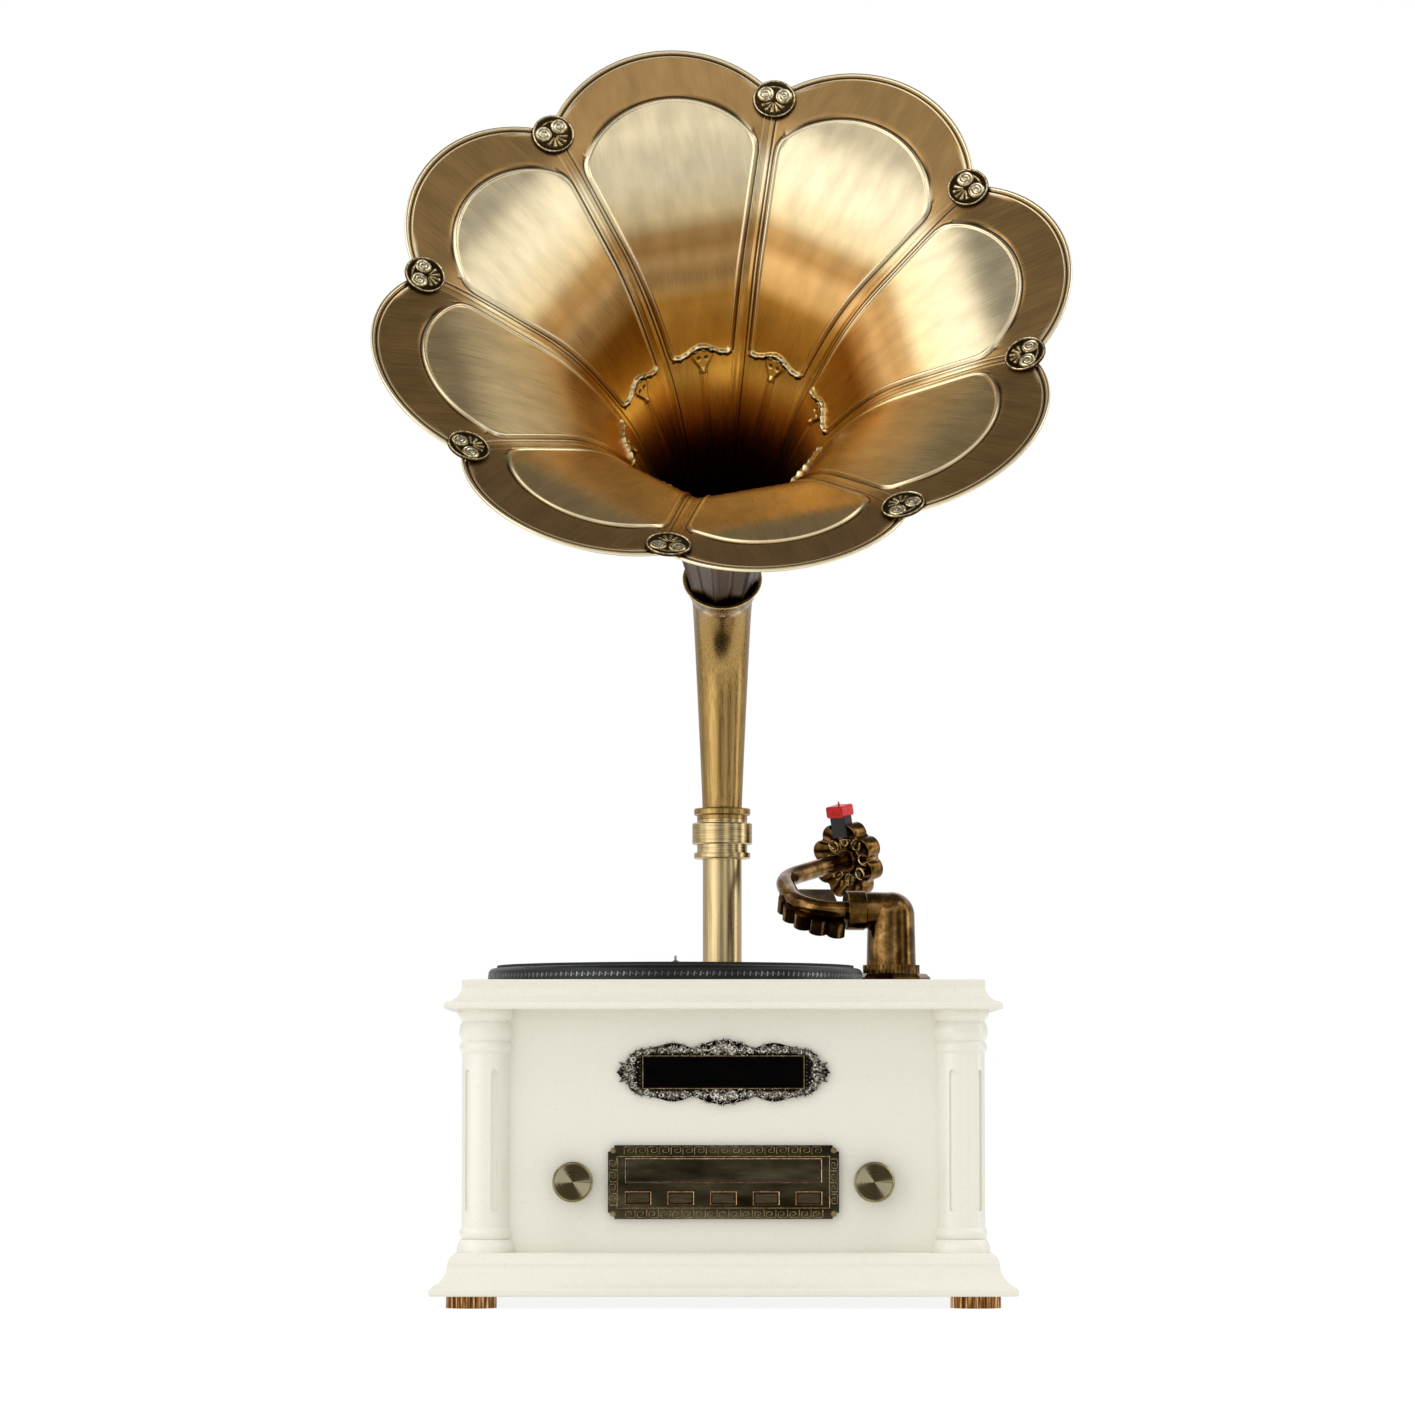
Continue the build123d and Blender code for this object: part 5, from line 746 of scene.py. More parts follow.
# A petal with its pressed front, its back at half the front's fineness, and its rolled rim
def petalShell():
    x, l = petalGrid()
    height, grooveShade, ridgeHighlight, borderShade = pressing(x, l)
    front = petalSurface(x, l, height)
    rows, columns = x.shape
    keepRows = np.unique(np.append(np.arange(0, rows, 2), rows - 1))
    keepColumns = np.arange(0, columns, 2)
    backX, backL = x[np.ix_(keepRows, keepColumns)], l[np.ix_(keepRows, keepColumns)]
    backHeight = height[np.ix_(keepRows, keepColumns)]
    half = halfAt(backL) * seamSpread
    seamFold = roll(half - np.abs(backX), 5.0 * np.clip(half / 30, 0, 1)) * (backL < -105)
    back = petalSurface(backX, backL, backHeight - bell["sheet"] - 0.9 * seamFold)
    backRows, backColumns = backX.shape
    points = np.concatenate([front.reshape(-1, 3), back.reshape(-1, 3)])
    faces = gridFaces(rows, columns)
    offset = rows * columns
    faces += [tuple(reversed(face)) for face in gridFaces(backRows, backColumns, start=offset)]

    def stitch(fine, coarse):
        for i in range(len(coarse) - 1):
            a, b, c = (fine[min(2 * i + step, len(fine) - 1)] for step in range(3))
            faces.append((a, b, coarse[i]))
            faces.append((b, coarse[i + 1], coarse[i]))
            if c != b:
                faces.append((b, c, coarse[i + 1]))

    at = lambda i, j: i * columns + j
    atBack = lambda i, j: offset + i * backColumns + j
    stitch([at(0, j) for j in range(columns)], [atBack(0, j) for j in range(backColumns)])
    stitch([at(rows - 1, j) for j in range(columns)], [atBack(backRows - 1, j) for j in range(backColumns)])
    stitch([at(i, 0) for i in range(rows)], [atBack(i, 0) for i in range(backRows)])
    stitch([at(i, columns - 1) for i in range(rows)], [atBack(i, backColumns - 1) for i in range(backRows)])
    # the rolled rim itself
    corner = asin(x[-1, -1] / bell["lobeRadius"])
    edge = np.linspace(-corner, corner, 121)
    path = petalSurface(bell["lobeRadius"] * np.sin(edge), bell["lobeCentre"] + bell["lobeRadius"] * np.cos(edge),
                        np.full_like(edge, -bell["sheet"] / 2))
    rim, rimFaces = barAlong(path, bell["rimRoll"], sides=12, start=len(points))
    points = np.concatenate([points, rim])
    faces += rimFaces
    brush = np.stack([x, l + bell["zero"]], axis=-1).reshape(-1, 2)
    backBrush = np.stack([backX, backL + bell["zero"]], axis=-1).reshape(-1, 2)
    rimBrush = np.stack([np.repeat(edge * 200, 12), np.tile(np.arange(12) * 0.8 + 270, len(edge))], axis=-1)
    brush = np.concatenate([brush, backBrush, rimBrush])
    ones = np.ones(grooveShade.size)
    marks = np.stack([grooveShade.ravel(), ridgeHighlight.ravel(), borderShade.ravel(), ones], axis=-1)
    plain = np.tile([0.3, 0.0, 0.35, 1.0], (backX.size, 1))
    plain[:, 0] += 0.5 * smoothStep(-240, -360, backL).ravel()   # the back is browner towards the neck
    # painted highlight along the rolled rim
    rimMarks = np.tile([0.0, 0.8, 0.0, 1.0], (len(rim), 1))
    return points, faces, brush, np.concatenate([marks, plain, rimMarks])


shellPoints, shellFaces, shellBrush, shellMarks = petalShell()
master = meshFrom("petalMaster", shellPoints, shellFaces, petalBrass, sharp=None, fixNormals=True)
masterFaces = [tuple(face.vertices) for face in master.polygons]
bpy.data.meshes.remove(master)
for k in range(bell["count"]):
    turn = radians(bell["turn"] + 45 * k)
    flat = shellPoints[:, 0] * cos(turn) - shellPoints[:, 1] * sin(turn)
    tall = shellPoints[:, 0] * sin(turn) + shellPoints[:, 1] * cos(turn)
    points = hornMiddle + np.outer(flat, across) + np.outer(tall, hornUp) + np.outer(shellPoints[:, 2], hornAxis)
    mesh = meshFrom(f"petal{k + 1}", points, masterFaces, petalBrass, sharp=60)
    mapOnto(mesh, "brushing", shellBrush + [k * 90.0, 0])
    # alpha picks the paler painted reflections of the low petals
    shellMarks[:, 3] = smoothStep(-0.45, 0.35, cos(turn))   # alpha: 1 for the high petals, 0 for the paler low ones
    finish = mesh.attributes.new("finish", "FLOAT_COLOR", "POINT")
    finish.data.foreach_set("color", shellMarks.astype(np.float32).ravel())
    pieceFrom(mesh, "horn", ["horn_petals"])
print("petals are made:", len(masterFaces), "faces each")

# Medallions over the seams: an oval with two scrolls above a fan of leaves, leaning with the border
medallion = {"turn": -10.1, "radius": 239.5, "lean": radians(19.53), "foot": 3.47, "width": 35.0, "height": 33.0,
             "scrollAt": (7.5, 3.4), "scrollRadius": 6.4, "scrollPitch": 2.5}


def medallionRise(x, y):
    a, b = medallion["width"] / 2, medallion["height"] / 2
    toEdge = (1 - np.hypot(x / a, y / b)) * b
    rise = 1.3 + 0.95 * roll(toEdge - 1.0, 1.15)
    scrolls = np.zeros_like(x)
    for side in (-1, 1):
        dx, dy = x - side * medallion["scrollAt"][0], y - medallion["scrollAt"][1]
        rho, phi = np.hypot(dx, dy), np.arctan2(dy, side * dx)
        phase = rho / medallion["scrollPitch"] - phi / (2 * pi)
        spiral = (0.5 + 0.5 * np.cos(2 * pi * phase)) ** 1.5 * smoothStep(medallion["scrollRadius"] + 0.6,
                                                                         medallion["scrollRadius"] - 0.4, rho)
        bud = smoothStep(1.7, 0.9, rho)
        dome = smoothStep(medallion["scrollRadius"] + 0.8, medallion["scrollRadius"] - 0.8, rho)
        scrolls = np.maximum(scrolls, 0.75 * dome + 0.55 * np.maximum(spiral, bud))
    band = roll(y - (10.6 - 0.035 * x ** 2), 1.3) * (np.abs(x) < 8)
    fan = np.zeros_like(x)
    for beta in (-64, -32, 0, 32, 64):
        way = radians(beta - 90)
        reach = x * cos(way) + (y + 2.5) * sin(way)
        off = -x * sin(way) + (y + 2.5) * cos(way)
        leaf = roll(off, 0.5 + 0.2 * np.clip(reach, 0, 9)) * smoothStep(0.8, 2.2, reach) * smoothStep(10.5, 9.0, reach)
        fan = np.maximum(fan, leaf * 0.85)
    ornament = np.maximum(np.maximum(scrolls, band * 0.8), fan)
    return np.where(toEdge > 1.2, np.maximum(rise, 1.3 + ornament), rise)


ringShares = np.concatenate([np.linspace(0, 0.88, 40), np.linspace(0.9, 1.0, 12)])
spokes = 132
phi = np.arange(spokes) * 2 * pi / spokes
gridX = np.outer(ringShares, np.sin(phi)) * medallion["width"] / 2
gridY = np.outer(ringShares, np.cos(phi)) * medallion["height"] / 2
rise = medallionRise(gridX, gridY)
rise[-1] = 0.75
top = np.stack([gridX, gridY, rise], axis=-1)
foot = np.stack([gridX[-1], gridY[-1], np.zeros(spokes)], axis=-1)[None]
underside = np.stack([gridX[-1] * 0.02, gridY[-1] * 0.02, np.zeros(spokes)], axis=-1)[None]
oval = np.concatenate([top[1:], foot, underside]).reshape(-1, 3)
ovalFaces = cappedFaces(len(ringShares) + 1, spokes)
allPoints, allFaces, allRise = [], [], []
for k in range(bell["count"]):
    turn, lean = radians(medallion["turn"] + 45 * k), medallion["lean"]
    outward = -sin(turn) * across + cos(turn) * hornUp
    sideways = cos(turn) * across + sin(turn) * hornUp
    tallWay = cos(lean) * outward + sin(lean) * hornAxis
    normal = -sin(lean) * outward + cos(lean) * hornAxis
    allFaces += [tuple(i + len(allRise) for i in face) for face in ovalFaces]
    allPoints.append(hornMiddle + medallion["radius"] * outward + np.outer(oval[:, 0], sideways)
                     + np.outer(oval[:, 1], tallWay) + np.outer(oval[:, 2] + medallion["foot"], normal))
    allRise += list(np.clip((oval[:, 2] - 1.2) / 1.1, 0, 1))
mesh = meshFrom("medallions", np.concatenate(allPoints), allFaces, medallionBrass, sharp=50, fixNormals=True)
mesh.attributes.new("rise", "FLOAT", "POINT").data.foreach_set("value", np.array(allRise, np.float32))
pieceFrom(mesh, "horn", ["horn_medallions"])

# Socket lip: a band round the elbow's mouth, with its joint at the front and a rolled edge
lip = {"from": 5.0, "to": 22.0, "foot": 25.2, "top": 31.5, "proud": 0.55, "segments": 240, "front": 180,
       "jointDepth": 0.012}


def socketRadius(t):
    return lip["foot"] + (lip["top"] - lip["foot"]) * t / lip["to"]


mouth = socketRadius(lip["to"])
profile = [(lip["from"], socketRadius(lip["from"]) - 0.3), (lip["from"], socketRadius(lip["from"]) + lip["proud"]),
           (20.6, socketRadius(20.6) + lip["proud"]), (21.2, socketRadius(21.2) + 1.1), (lip["to"], mouth + 1.4),
           (22.7, mouth + 1.0), (22.9, mouth), (22.5, mouth - 1.5), (21.0, socketRadius(21) - 0.8)]
points, faces = turned(profile, socketFoot, hornAxis, across, segments=lip["segments"], closed=True)
# the joint, 3 mm wide, on the side towards the front: its edges stand out and its middle is sunk
offFront = np.arange(len(points)) % lip["segments"] - lip["front"]
centres = socketFoot + np.outer((points - socketFoot) @ hornAxis, hornAxis)
shift = (points - centres) * lip["jointDepth"]
points = np.where((np.abs(offFront) == 2)[:, None], points + shift, points)
points = np.where((offFront == 0)[:, None], points - shift, points)
pieceFrom(meshFrom("socketLip", points, faces, turnedBrass, sharp=40, fixNormals=True), "horn")
print("medallions and socket lip are made")

# Display frame: a cast ground plate, a bevelled inner frame, and sprays of leaves, scrolls and beads
display = {"centreZ": 179.9, "windowWidth": 122.0, "windowHeight": 23.0, "ground": 2.0,
           "outline": [(84.5, 0), (81, 4.5), (76, 7), (72.5, 7.6), (75.5, 10), (74.5, 13.5), (70, 16.8), (64, 18.4),
                       (59, 19.2), (53, 21), (46, 23.2), (40, 24), (33, 22.8), (27, 20.2), (23.5, 19.8), (20, 22.6),
                       (12, 25.6), (5, 26.8), (0, 27.4)],
           # centre x, z, first and last angle from straight up, count, length, width
           "sprays": [(0, 13.6, 0, 80, 6, 12.6, 3.6), (13, 13.8, 5, 62, 4, 8.6, 3.0), (27, 13.6, -30, 48, 4, 6.4, 2.6),
                      (39, 13.6, -62, 62, 8, 9.4, 3.0), (39, 13.6, -40, 40, 4, 5.6, 2.8),
                      (54, 13.4, -25, 66, 5, 7.2, 2.8), (63, 11.5, 0, 84, 5, 7.6, 2.9), (67, 6.5, 38, 92, 4, 8.6, 2.8),
                      (67, 0, 60, 90, 3, 15.5, 3.4), (66, 0, 40, 90, 3, 9.0, 2.8), (65.5, 9, 20, 80, 3, 5.0, 2.4)],
           # centre x, z, radius
           "scrolls": [(7.5, 17.2, 3.4), (20.5, 16.6, 2.9), (31, 17.6, 3.1), (47.5, 17.2, 3.0), (59, 15.6, 2.6),
                       (69.5, 10.2, 2.8), (71, 3.6, 2.6)]}
panelRight, panelUp, panelOut = np.array([1.0, 0, 0]), np.array([0, 0, 1.0]), np.array([0, -1.0, 0])
displayFoot = np.array([0, panelFrontY, display["centreZ"]])


def onPanel(x, z, out, foot):
    return foot + panelRight * x + panelUp * z + panelOut * out


quarter = np.array(display["outline"], float)
corners = np.concatenate([quarter, (quarter * [-1, 1])[::-1][1:], quarter[1:] * [-1, -1],
                          (quarter * [1, -1])[::-1][1:-1]])
cornerAngle = atan2(display["windowHeight"], display["windowWidth"])
spread = np.sort(np.concatenate([np.linspace(0, 2 * pi, 320, endpoint=False),
                                 [cornerAngle, pi - cornerAngle, pi + cornerAngle, 2 * pi - cornerAngle]]))


# How far the frame's outline is from its middle at an angle
def outlineRadius(angle):
    wrapped = np.concatenate([corners, corners[:1]])
    direction = np.array([cos(angle), sin(angle)])
    for a, b in zip(wrapped, wrapped[1:]):
        cross = direction[0] * (b - a)[1] - direction[1] * (b - a)[0]
        if abs(cross) < 1e-9:
            continue
        t = (a[0] * (b - a)[1] - a[1] * (b - a)[0]) / cross
        u = (a[0] * direction[1] - a[1] * direction[0]) / cross
        if t > 0 and -1e-6 <= u <= 1 + 1e-6:
            return t
    return hypot(*corners[0])


outer = np.array([outlineRadius(a) for a in spread])
halfW, halfH = display["windowWidth"] / 2, display["windowHeight"] / 2
inner = np.minimum(halfW / np.maximum(np.abs(np.cos(spread)), 1e-6), halfH / np.maximum(np.abs(np.sin(spread)), 1e-6))
ways = np.stack([np.cos(spread), np.sin(spread)], axis=-1)
rings = [(inner, 0.0), (inner, 2.2), (inner * 0.5 + outer * 0.5, display["ground"] + 0.6),
         (outer - 3.2, display["ground"] - 0.4), (outer - 2.6, 0.9), (outer - 2.6, 0.0)]
points = [onPanel(x, z, out, displayFoot) for radius, out in rings for x, z in ways * radius[:, None]]
pieceFrom(meshFrom("displayGround", points, ringFaces(len(rings), len(spread)), castFrame, fixNormals=True),
          "cabinet", ["display_bezel"])


# A mitred frame of one cross-section: outs are (distance outside the opening, height)
def mitredFrame(halfWidth, halfHeight, outs, foot):
    points = []
    for away, out in outs:
        w, h = halfWidth + away, halfHeight + away
        points += [onPanel(x, z, out, foot) for x, z in ((w, h), (-w, h), (-w, -h), (w, -h))]
    return points, ringFaces(len(outs), 4)


points, faces = mitredFrame(halfW, halfH, [(0.05, 0.4), (0.05, 2.9), (0.7, 4.0), (1.3, 4.0), (1.9, 3.0), (1.9, 0.4)],
                            displayFoot)
pieceFrom(meshFrom("displayInnerFrame", points, faces, rubbedBronze, sharp=25, fixNormals=True), "cabinet")


# Unit leaf, 1 mm long and wide: a cupped blade with a notched edge and a groove along its middle
def leafShape():
    points, rows, columns = [], 9, 7
    for layer in (1, 0):
        for i in range(rows):
            v = i / (rows - 1)
            wide = 0.06 + 0.94 * sin(pi * v ** 0.8) ** 0.7 * (1 + 0.16 * sin(6 * pi * v))
            for j in range(columns):
                u = 2 * j / (columns - 1) - 1
                high = (0.25 + 0.6 * sin(pi * v * 0.85) + 0.25 * v ** 3) * (1 - 0.45 * u * u) - 0.16 * (abs(u) < 0.1)
                points.append((0.5 * u * wide, v, high if layer else 0.0))
    faces = gridFaces(rows, columns) + [tuple(reversed(f)) for f in gridFaces(rows, columns, start=rows * columns)]
    rim = ([(0, j) for j in range(columns)] + [(i, columns - 1) for i in range(1, rows)]
           + [(rows - 1, j) for j in range(columns - 2, -1, -1)] + [(i, 0) for i in range(rows - 2, 0, -1)])
    loop = [i * columns + j for i, j in rim]
    for a, b in zip(loop, loop[1:] + loop[:1]):
        faces.append((a, b, b + rows * columns, a + rows * columns))
    return unitShape("leafUnit", points, faces)


# Unit scroll: a tapering bar wound one and a half turns, radius 1 mm
def scrollShape():
    path, radii = [], []
    for i in range(30):
        t = i / 29
        angle, rho = 3.2 * pi * t, 1.0 - 0.78 * t
        path.append((rho * cos(angle), rho * sin(angle), 0.25 + 0.35 * t))
        radii.append(0.2 + 0.1 * sin(pi * t) - 0.06 * t)
    points, faces = barAlong(path, radii, sides=7)
    return unitShape("scrollUnit", points, faces)


# Unit bead: a low dome 1 mm across
def beadShape(steps=5, sides=10):
    points = []
    for i in range(steps):
        angle = (pi / 2) * i / (steps - 1) * 0.97
        points += [(0.5 * cos(angle) * cos(2 * pi * j / sides), 0.5 * cos(angle) * sin(2 * pi * j / sides),
                    0.5 * sin(angle)) for j in range(sides)]
    return unitShape("beadUnit", points, cappedFaces(steps, sides))


# A unit shape's turn on the panel: its Y points at an angle from straight up, its Z out of the panel
def panelTurn(angle):
    right = panelRight * cos(angle) - panelUp * sin(angle)
    upward = panelRight * sin(angle) + panelUp * cos(angle)
    return np.stack([right, upward, panelOut], axis=1)


leafPlaces, scrollPlaces, beadPlaces = [], [], []
for x, z, first, last, number, length, width in display["sprays"]:
    for i in range(number):
        angle = radians(first + (last - first) * i / (number - 1))
        # every second leaf is shorter and lies higher
        out, shorter = display["ground"] - 0.5 + 0.25 * (i % 2), 1.0 - 0.12 * (i % 2)
        for side in (1, -1):
            for tall in (1, -1):
                turn = angle * side if tall > 0 else pi - angle * side
                leafPlaces.append((onPanel(side * x, tall * z, out, displayFoot), panelTurn(turn),
                                   (width, length * shorter, 2.6)))
for x, z, radius in display["scrolls"]:
    for side in (1, -1):
        for tall in (1, -1):
            scrollPlaces.append((onPanel(side * x, tall * z, display["ground"] + 0.5, displayFoot),
                                 panelTurn(radians(40 * side + (90 if tall < 0 else 0))), (radius, radius, 2.2)))
# a row of beads round the inner frame
frameW, frameH = halfW + 3.1, halfH + 3.1
beadRow = [(x, side * frameH) for x in np.linspace(-frameW, frameW, 47) for side in (1, -1)]
beadRow += [(side * frameW, z) for z in np.linspace(-frameH, frameH, 11)[1:-1] for side in (1, -1)]
for x, z in beadRow:
    beadPlaces.append((onPanel(x, z, display["ground"] - 0.1, displayFoot), panelTurn(0), (2.0, 2.0, 2.6)))
# berries between the leaves, in three loose rows from the frame out to the edge
for row, (share, size) in enumerate([(0.2, 1.7), (0.55, 2.1), (0.86, 1.8)]):
    for i in range(row, len(spread), 3):
        nearFrame = inner[i] * (halfW + 3.4) / halfW
        reach = nearFrame + (outer[i] - 1.6 - nearFrame) * (share + 0.1 * sin(i * 2.4))
        wide = size + 0.3 * sin(i * 1.7)
        if outer[i] - nearFrame > 3.0:
            beadPlaces.append((onPanel(*(ways[i] * reach), display["ground"] + 0.1, displayFoot), panelTurn(0),
                               (wide, wide, 4.4)))
repeated("displayLeaves", leafShape(), leafPlaces, castFrame, "cabinet")
repeated("displayScrolls", scrollShape(), scrollPlaces, castFrame, "cabinet")
repeated("displayBeads", beadShape(), beadPlaces, castFrame, "cabinet")
print("display frame is made:", len(leafPlaces), "leaves")

# Control panel: key border, inner frame, button surrounds
control = {"z": 95.8, "width": 177.3, "height": 56.5, "thickness": 4.0, "border": 8.0, "rise": 0.8,
           "keyPitch": 9.0, "keyHeight": 5.4, "innerHalf": (80.9, 19.15), "buttonZ": 83.4, "buttonPitch": 32.8,
           "doorZ": 104.6, "doorWidth": 149.0, "doorHeight": 16.6}
controlFoot = np.array([0, panelFrontY, control["z"]])
borderOut = control["thickness"] + control["rise"]


# Unit key: a square meander drawn by a flat bar, 1 mm pitch and 1 mm tall
def keyShape():
    path = [(-0.5, -0.5), (-0.5, 0.5), (0.36, 0.5), (0.36, -0.28), (-0.16, -0.28), (-0.16, 0.16), (0.1, 0.16)]
    half, points, faces = 0.055, [], []
    for (x0, z0), (x1, z1) in zip(path, path[1:]):
        low, high = (min(x0, x1) - half, min(z0, z1) - half), (max(x0, x1) + half, max(z0, z1) + half)
        start = len(points)
        for out in (0.0, 1.0):
            inset = 0.02 * out
            points += [(low[0] + inset, low[1] + inset, out), (high[0] - inset, low[1] + inset, out),
                       (high[0] - inset, high[1] - inset, out), (low[0] + inset, high[1] - inset, out)]
        faces += blockFaces(start)
    return unitShape("keyUnit", points, faces)


# the keys run along the top and the bottom, and up both sides between the corners
keyPlaces = []
keySize = (control["keyPitch"] * 0.92, control["keyHeight"], 0.55)
middleX, middleZ = control["width"] / 2 - control["border"] / 2, control["height"] / 2 - control["border"] / 2
runs = int((control["width"] - 2 * control["keyPitch"]) // control["keyPitch"])
for number, upright in ((runs, False), (4, True)):
    for i in range(number):
        along = (i - (number - 1) / 2) * control["keyPitch"]
        for side in (1, -1):
            x, z = (side * middleX, along) if upright else (along, side * middleZ)
            turn = radians(90 * side) if upright else 0 if side > 0 else pi
            keyPlaces.append((onPanel(x, z, borderOut - 0.15, controlFoot), panelTurn(turn), keySize))
repeated("keyBorder", keyShape(), keyPlaces, rubbedBronze, "cabinet", sharp=30)
points, faces = mitredFrame(*control["innerHalf"], [(0, 3.7), (0.15, 5.0), (0.55, 5.3), (0.95, 5.0), (1.1, 3.7)],
                            controlFoot)
pieceFrom(meshFrom("controlInnerFrame", points, faces, rubbedBronze, sharp=25, fixNormals=True), "cabinet")
edges = [(0, control["doorZ"], control["doorWidth"] / 2 + 0.5, control["doorHeight"] / 2 + 0.5)]
edges += [((i - 2) * control["buttonPitch"], control["buttonZ"], 9.5, 4.6) for i in range(5)]
edgePoints, edgeFaces = [], []
for x, z, w, h in edges:
    points, faces = mitredFrame(w, h, [(0, 3.7), (0.1, 4.5), (0.5, 4.75), (0.8, 4.4), (0.9, 3.7)],
                                np.array([x, panelFrontY, z]))
    edgeFaces += [tuple(i + len(edgePoints) for i in face) for face in faces]
    edgePoints += points
pieceFrom(meshFrom("openingEdges", edgePoints, edgeFaces, copperEdge, sharp=25, fixNormals=True), "cabinet")

# Knob faces: a spun disc set in each knob
knob = {"x": 115.5, "z": 96.0, "radius": 13.6, "segments": 96, "faceY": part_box("volume_knob")[0].y * 1000}
rings = [(0.1, 0.02)] + [(0.1, r) for r in np.linspace(0.8, knob["radius"] - 0.4, 12)]
rings += [(0.0, knob["radius"]), (-0.5, knob["radius"])]
# the face's map: the distance from its middle in mm, and half a unit to each segment round it
spin = np.stack([np.repeat([r for _, r in rings], knob["segments"]),
                 np.tile(np.arange(knob["segments"]) * 0.5, len(rings))], axis=-1)
for side, body, name in ((-1, "volume", "volumeFace"), (1, "tuning", "tuningFace")):
    foot = np.array([side * knob["x"], knob["faceY"], knob["z"]])
    points, faces = turned(rings, foot, panelOut, panelRight, segments=knob["segments"])
    mesh = meshFrom(name, points, faces, spunFace, sharp=60)
    mapOnto(mesh, "spinning", spin)
    pieceFrom(mesh, body)
print("front fittings are made")

# Strobe marks round the platter: leaning bars, with a dot between each two
strobe = {"radius": 150.0, "count": 188, "low": 253.9, "wide": 1.7, "out": 0.35, "lean": 14.0}
corners = [(-0.5, 0), (0.5, 0), (0.5, 1), (-0.5, 1)]
markPoints = [(x, y, 0) for x, y in corners] + [(x * 0.75, 0.06 + y * 0.88, 1) for x, y in corners]
markUnit = unitShape("markUnit", markPoints, blockFaces())
barPlaces, dotPlaces = [], []
for i in range(strobe["count"]):
    for places, shift, low, tall, wide in ((barPlaces, 0, strobe["low"] + 0.8, 3.9, strobe["wide"]),
                                           (dotPlaces, 0.5, strobe["low"] + 2.2, 1.1, 1.1)):
        angle = 2 * pi * (i + shift) / strobe["count"]
        outward = np.array([cos(angle), sin(angle), 0])
        sideways = np.array([-sin(angle), cos(angle), 0])
        upward = np.array([0, 0, 1.0])
        lean = radians(strobe["lean"])
        turn = np.stack([sideways * cos(lean) - upward * sin(lean), sideways * sin(lean) + upward * cos(lean),
                         outward], axis=1)
        foot = np.array([platterX, platterY, low]) + outward * (strobe["radius"] - 0.12)
        places.append((foot, turn, (wide, tall, strobe["out"])))
repeated("strobeBars", markUnit, barPlaces, strobeBright, "turntable", sharp=30)
repeated("strobeDots", markUnit, dotPlaces, strobeBright, "turntable", sharp=30)
print("strobe marks are made")

# Tonearm head: a scalloped dish with raised scrollwork round the tube's boss
head = {"lobes": 8, "lobeRing": 23.0, "lobeRadius": 9.5, "least": 27.3, "half": 8.0, "floor": -1.0, "boss": 10.5,
        "bossTop": 6.0, "notchHalf": 8.2, "notchFrom": 19.5, "notchZ": -4.2, "segments": 288}


def lobedRadius(theta):
    best = np.full_like(theta, head["least"])
    for i in range(head["lobes"]):
        middle = 2 * pi * (i + 0.5) / head["lobes"]
        delta = theta - middle
        inside = head["lobeRadius"] ** 2 - (head["lobeRing"] * np.sin(delta)) ** 2
        reach = np.where((inside > 0) & (np.cos(delta) > 0),
                         head["lobeRing"] * np.cos(delta) + np.sqrt(np.maximum(inside, 0)), 0)
        best = np.maximum(best, reach)
    return best


theta = np.arange(head["segments"]) * 2 * pi / head["segments"]
edge = lobedRadius(theta)
# radius and height, from the middle of the back round the rim, down to the floor and up over the boss
sections = [(0.05 * edge, -head["half"]), (edge - 1.2, -head["half"]), (edge, -6.8), (edge, 6.6), (edge - 0.5, 7.8),
            (edge - 1.3, head["half"]), (edge - 2.2, 7.2), (0.93 * edge - 3.0, 4.2), (0.8 * edge - 2, 1.2),
            (0.62 * edge, -0.6), (12.0, head["floor"]), (10.6, -0.4), (head["boss"], 5.2), (9.6, head["bossTop"]),
            (7.7, head["bossTop"]), (7.6, 4.2), (0.2, 4.1)]
points = []
for radius, high in sections:
    x, y = radius * np.cos(theta), radius * np.sin(theta)
    z = np.full_like(x, high)
    notch = (np.abs(x) < head["notchHalf"]) & (y > head["notchFrom"]) & (z > head["notchZ"])
    z = np.where(notch, head["notchZ"], z)
    points.append(headMiddle + np.outer(x, headRight) + np.outer(y, headUp) + np.outer(z, headNormal))
pieceFrom(meshFrom("headDish", np.concatenate(points), cappedFaces(len(sections), head["segments"]), polishedBronze,
                   sharp=35, fixNormals=True), "tonearm", ["arm_head"])


def onHead(x, y, z):
    return headMiddle + headRight * x + headUp * y + headNormal * z


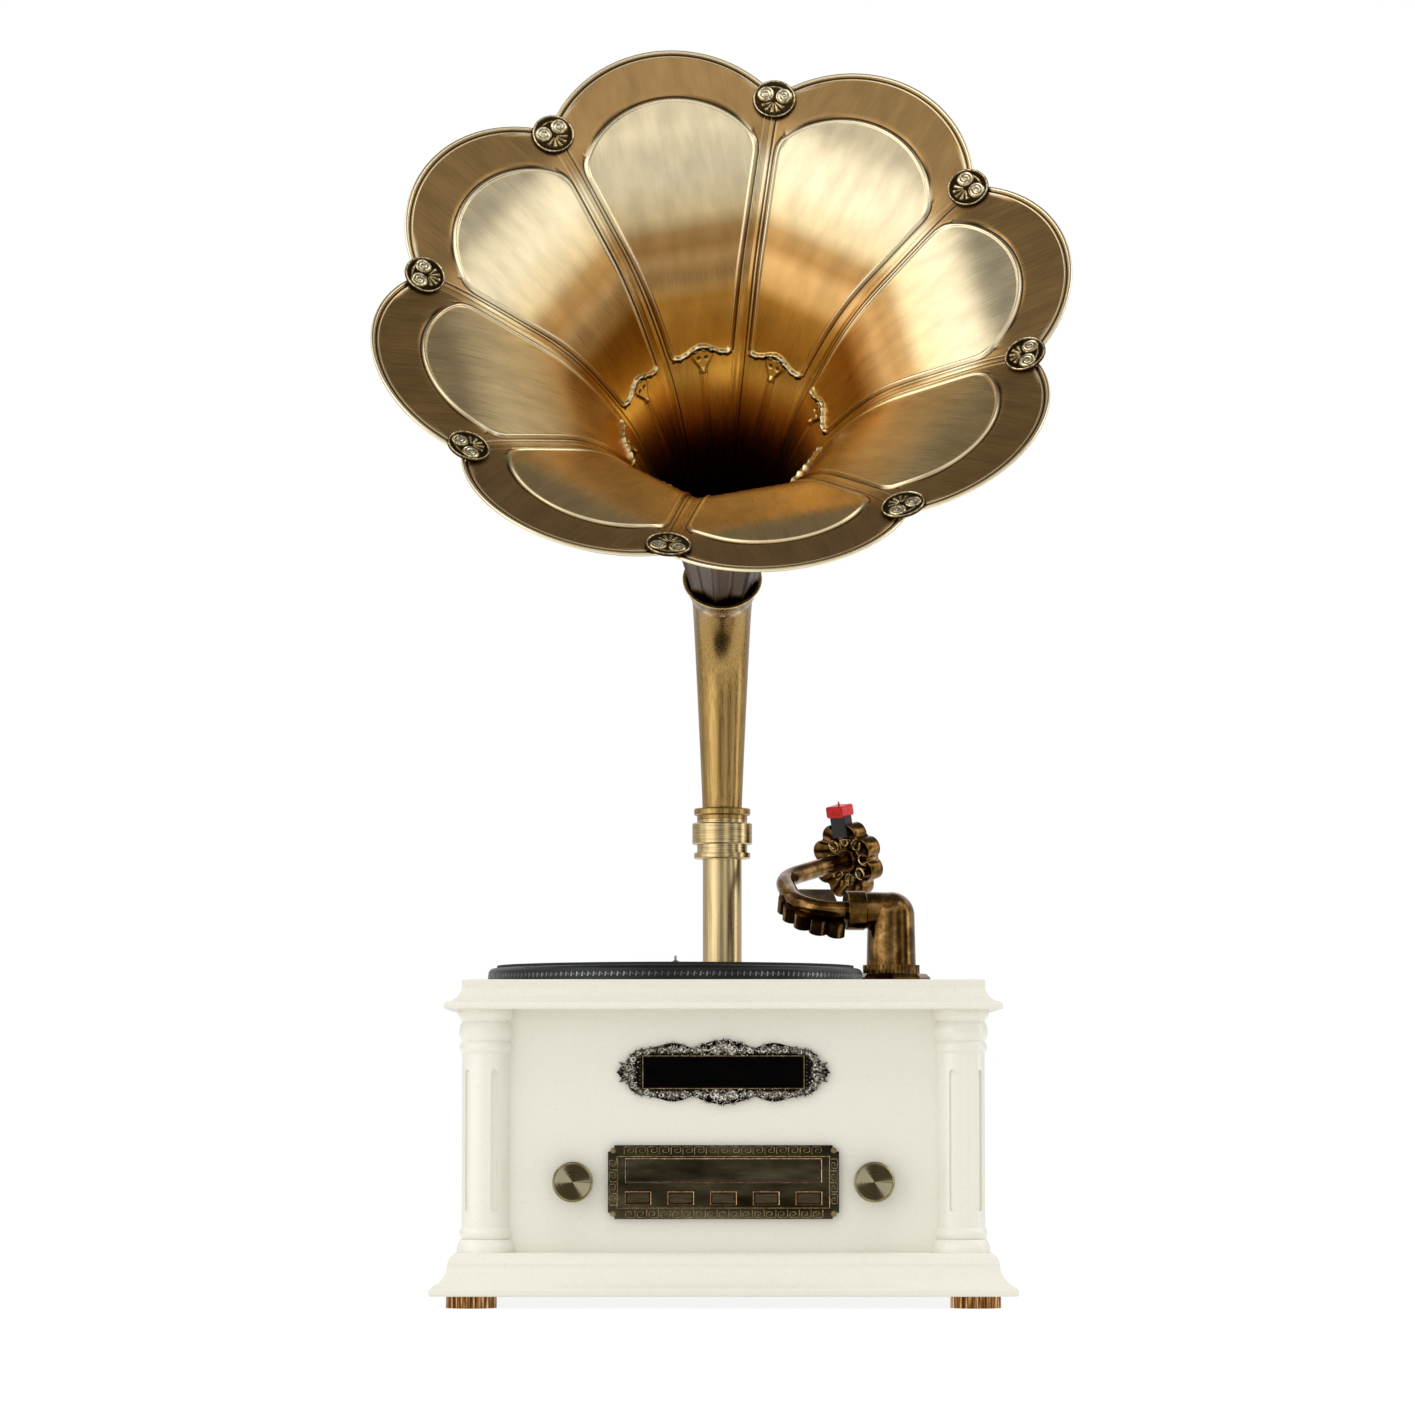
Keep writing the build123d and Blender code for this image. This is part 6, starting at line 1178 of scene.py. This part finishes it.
# a pair of scrolls to each lobe; where the tube enters there are none
scrollPoints, scrollFaces = [], []
for i in range(head["lobes"]):
    middle = 2 * pi * i / head["lobes"]
    for turnWay in (1, -1):
        path, radii = [], []
        for step in range(20):
            t = step / 19
            swing = pi * 1.55 * t
            rho = 17.4 - 5.2 * cos(swing)
            off = turnWay * 4.6 * sin(swing) * (1 - 0.35 * t)
            x, y = rho * cos(middle) - off * sin(middle), rho * sin(middle) + off * cos(middle)
            if abs(x) < head["notchHalf"] and y > head["notchFrom"] - 1:
                continue
            path.append(onHead(x, y, 0.8 + 1.4 * sin(pi * t)))
            radii.append(1.05 - 0.35 * t)
        if len(path) > 4:
            rings, faces = barAlong(path, radii, sides=8, start=len(scrollPoints))
            scrollPoints += rings
            scrollFaces += faces
pieceFrom(meshFrom("headScrolls", scrollPoints, scrollFaces, turnedBrass, fixNormals=True), "tonearm")
print("tonearm head is made")

# Finishes of the pieces that stay as the model has them
dress(["base_board", "front_panel", "back_panel", "left_side_panel", "right_side_panel", "front_left_column",
       "front_right_column", "rear_left_column", "rear_right_column", "top_board"], ivoryLacquer)
dress(["post_tube"], brushedTube)
dress(["horn_elbow"], agedTube)
dress(["post_collar", "platter_bearing"], turnedBrass)
dress(["feet"], paintedKnurlCopper)
dress(["arm_base", "arm_column", "arm_collar", "arm_tube", "arm_counterweight"], polishedBronze)
dress(["control_panel", "cd_tray_door"], smokyBronze)
dress([f"button_{i}" for i in range(1, 6)], buttonPlate)
dress(["volume_knob", "tuning_knob"], knobPlate)
dress(["display_window"], smokedWindow)
dress(["platter"], platterBlack)
dress(["platter_mat", "drive_belt"], matRubber)
dress(["post_socket", "cd_tray", "cd_chassis", "switch_body", "power_rocker", "ac_inlet", "cartridge",
       "display_module", "horn_driver"], mouldedBlack)
dress(["stylus"], mouldedRed)
dress(["plate_screws"], rubbedBronze)
dress(["foot_screws", "platter_spindle", "motor_pulley", "arm_base_nut", "platter_motor",
       "rotary_encoders", "transformer"], platedSteel)
dress(["rear_plate"], wrinkleBlack)
dress(["phono_jacks"], brightNickel)
dress(["main_board", "button_board"], circuitGreen)
print("finishes are on")

low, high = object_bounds()
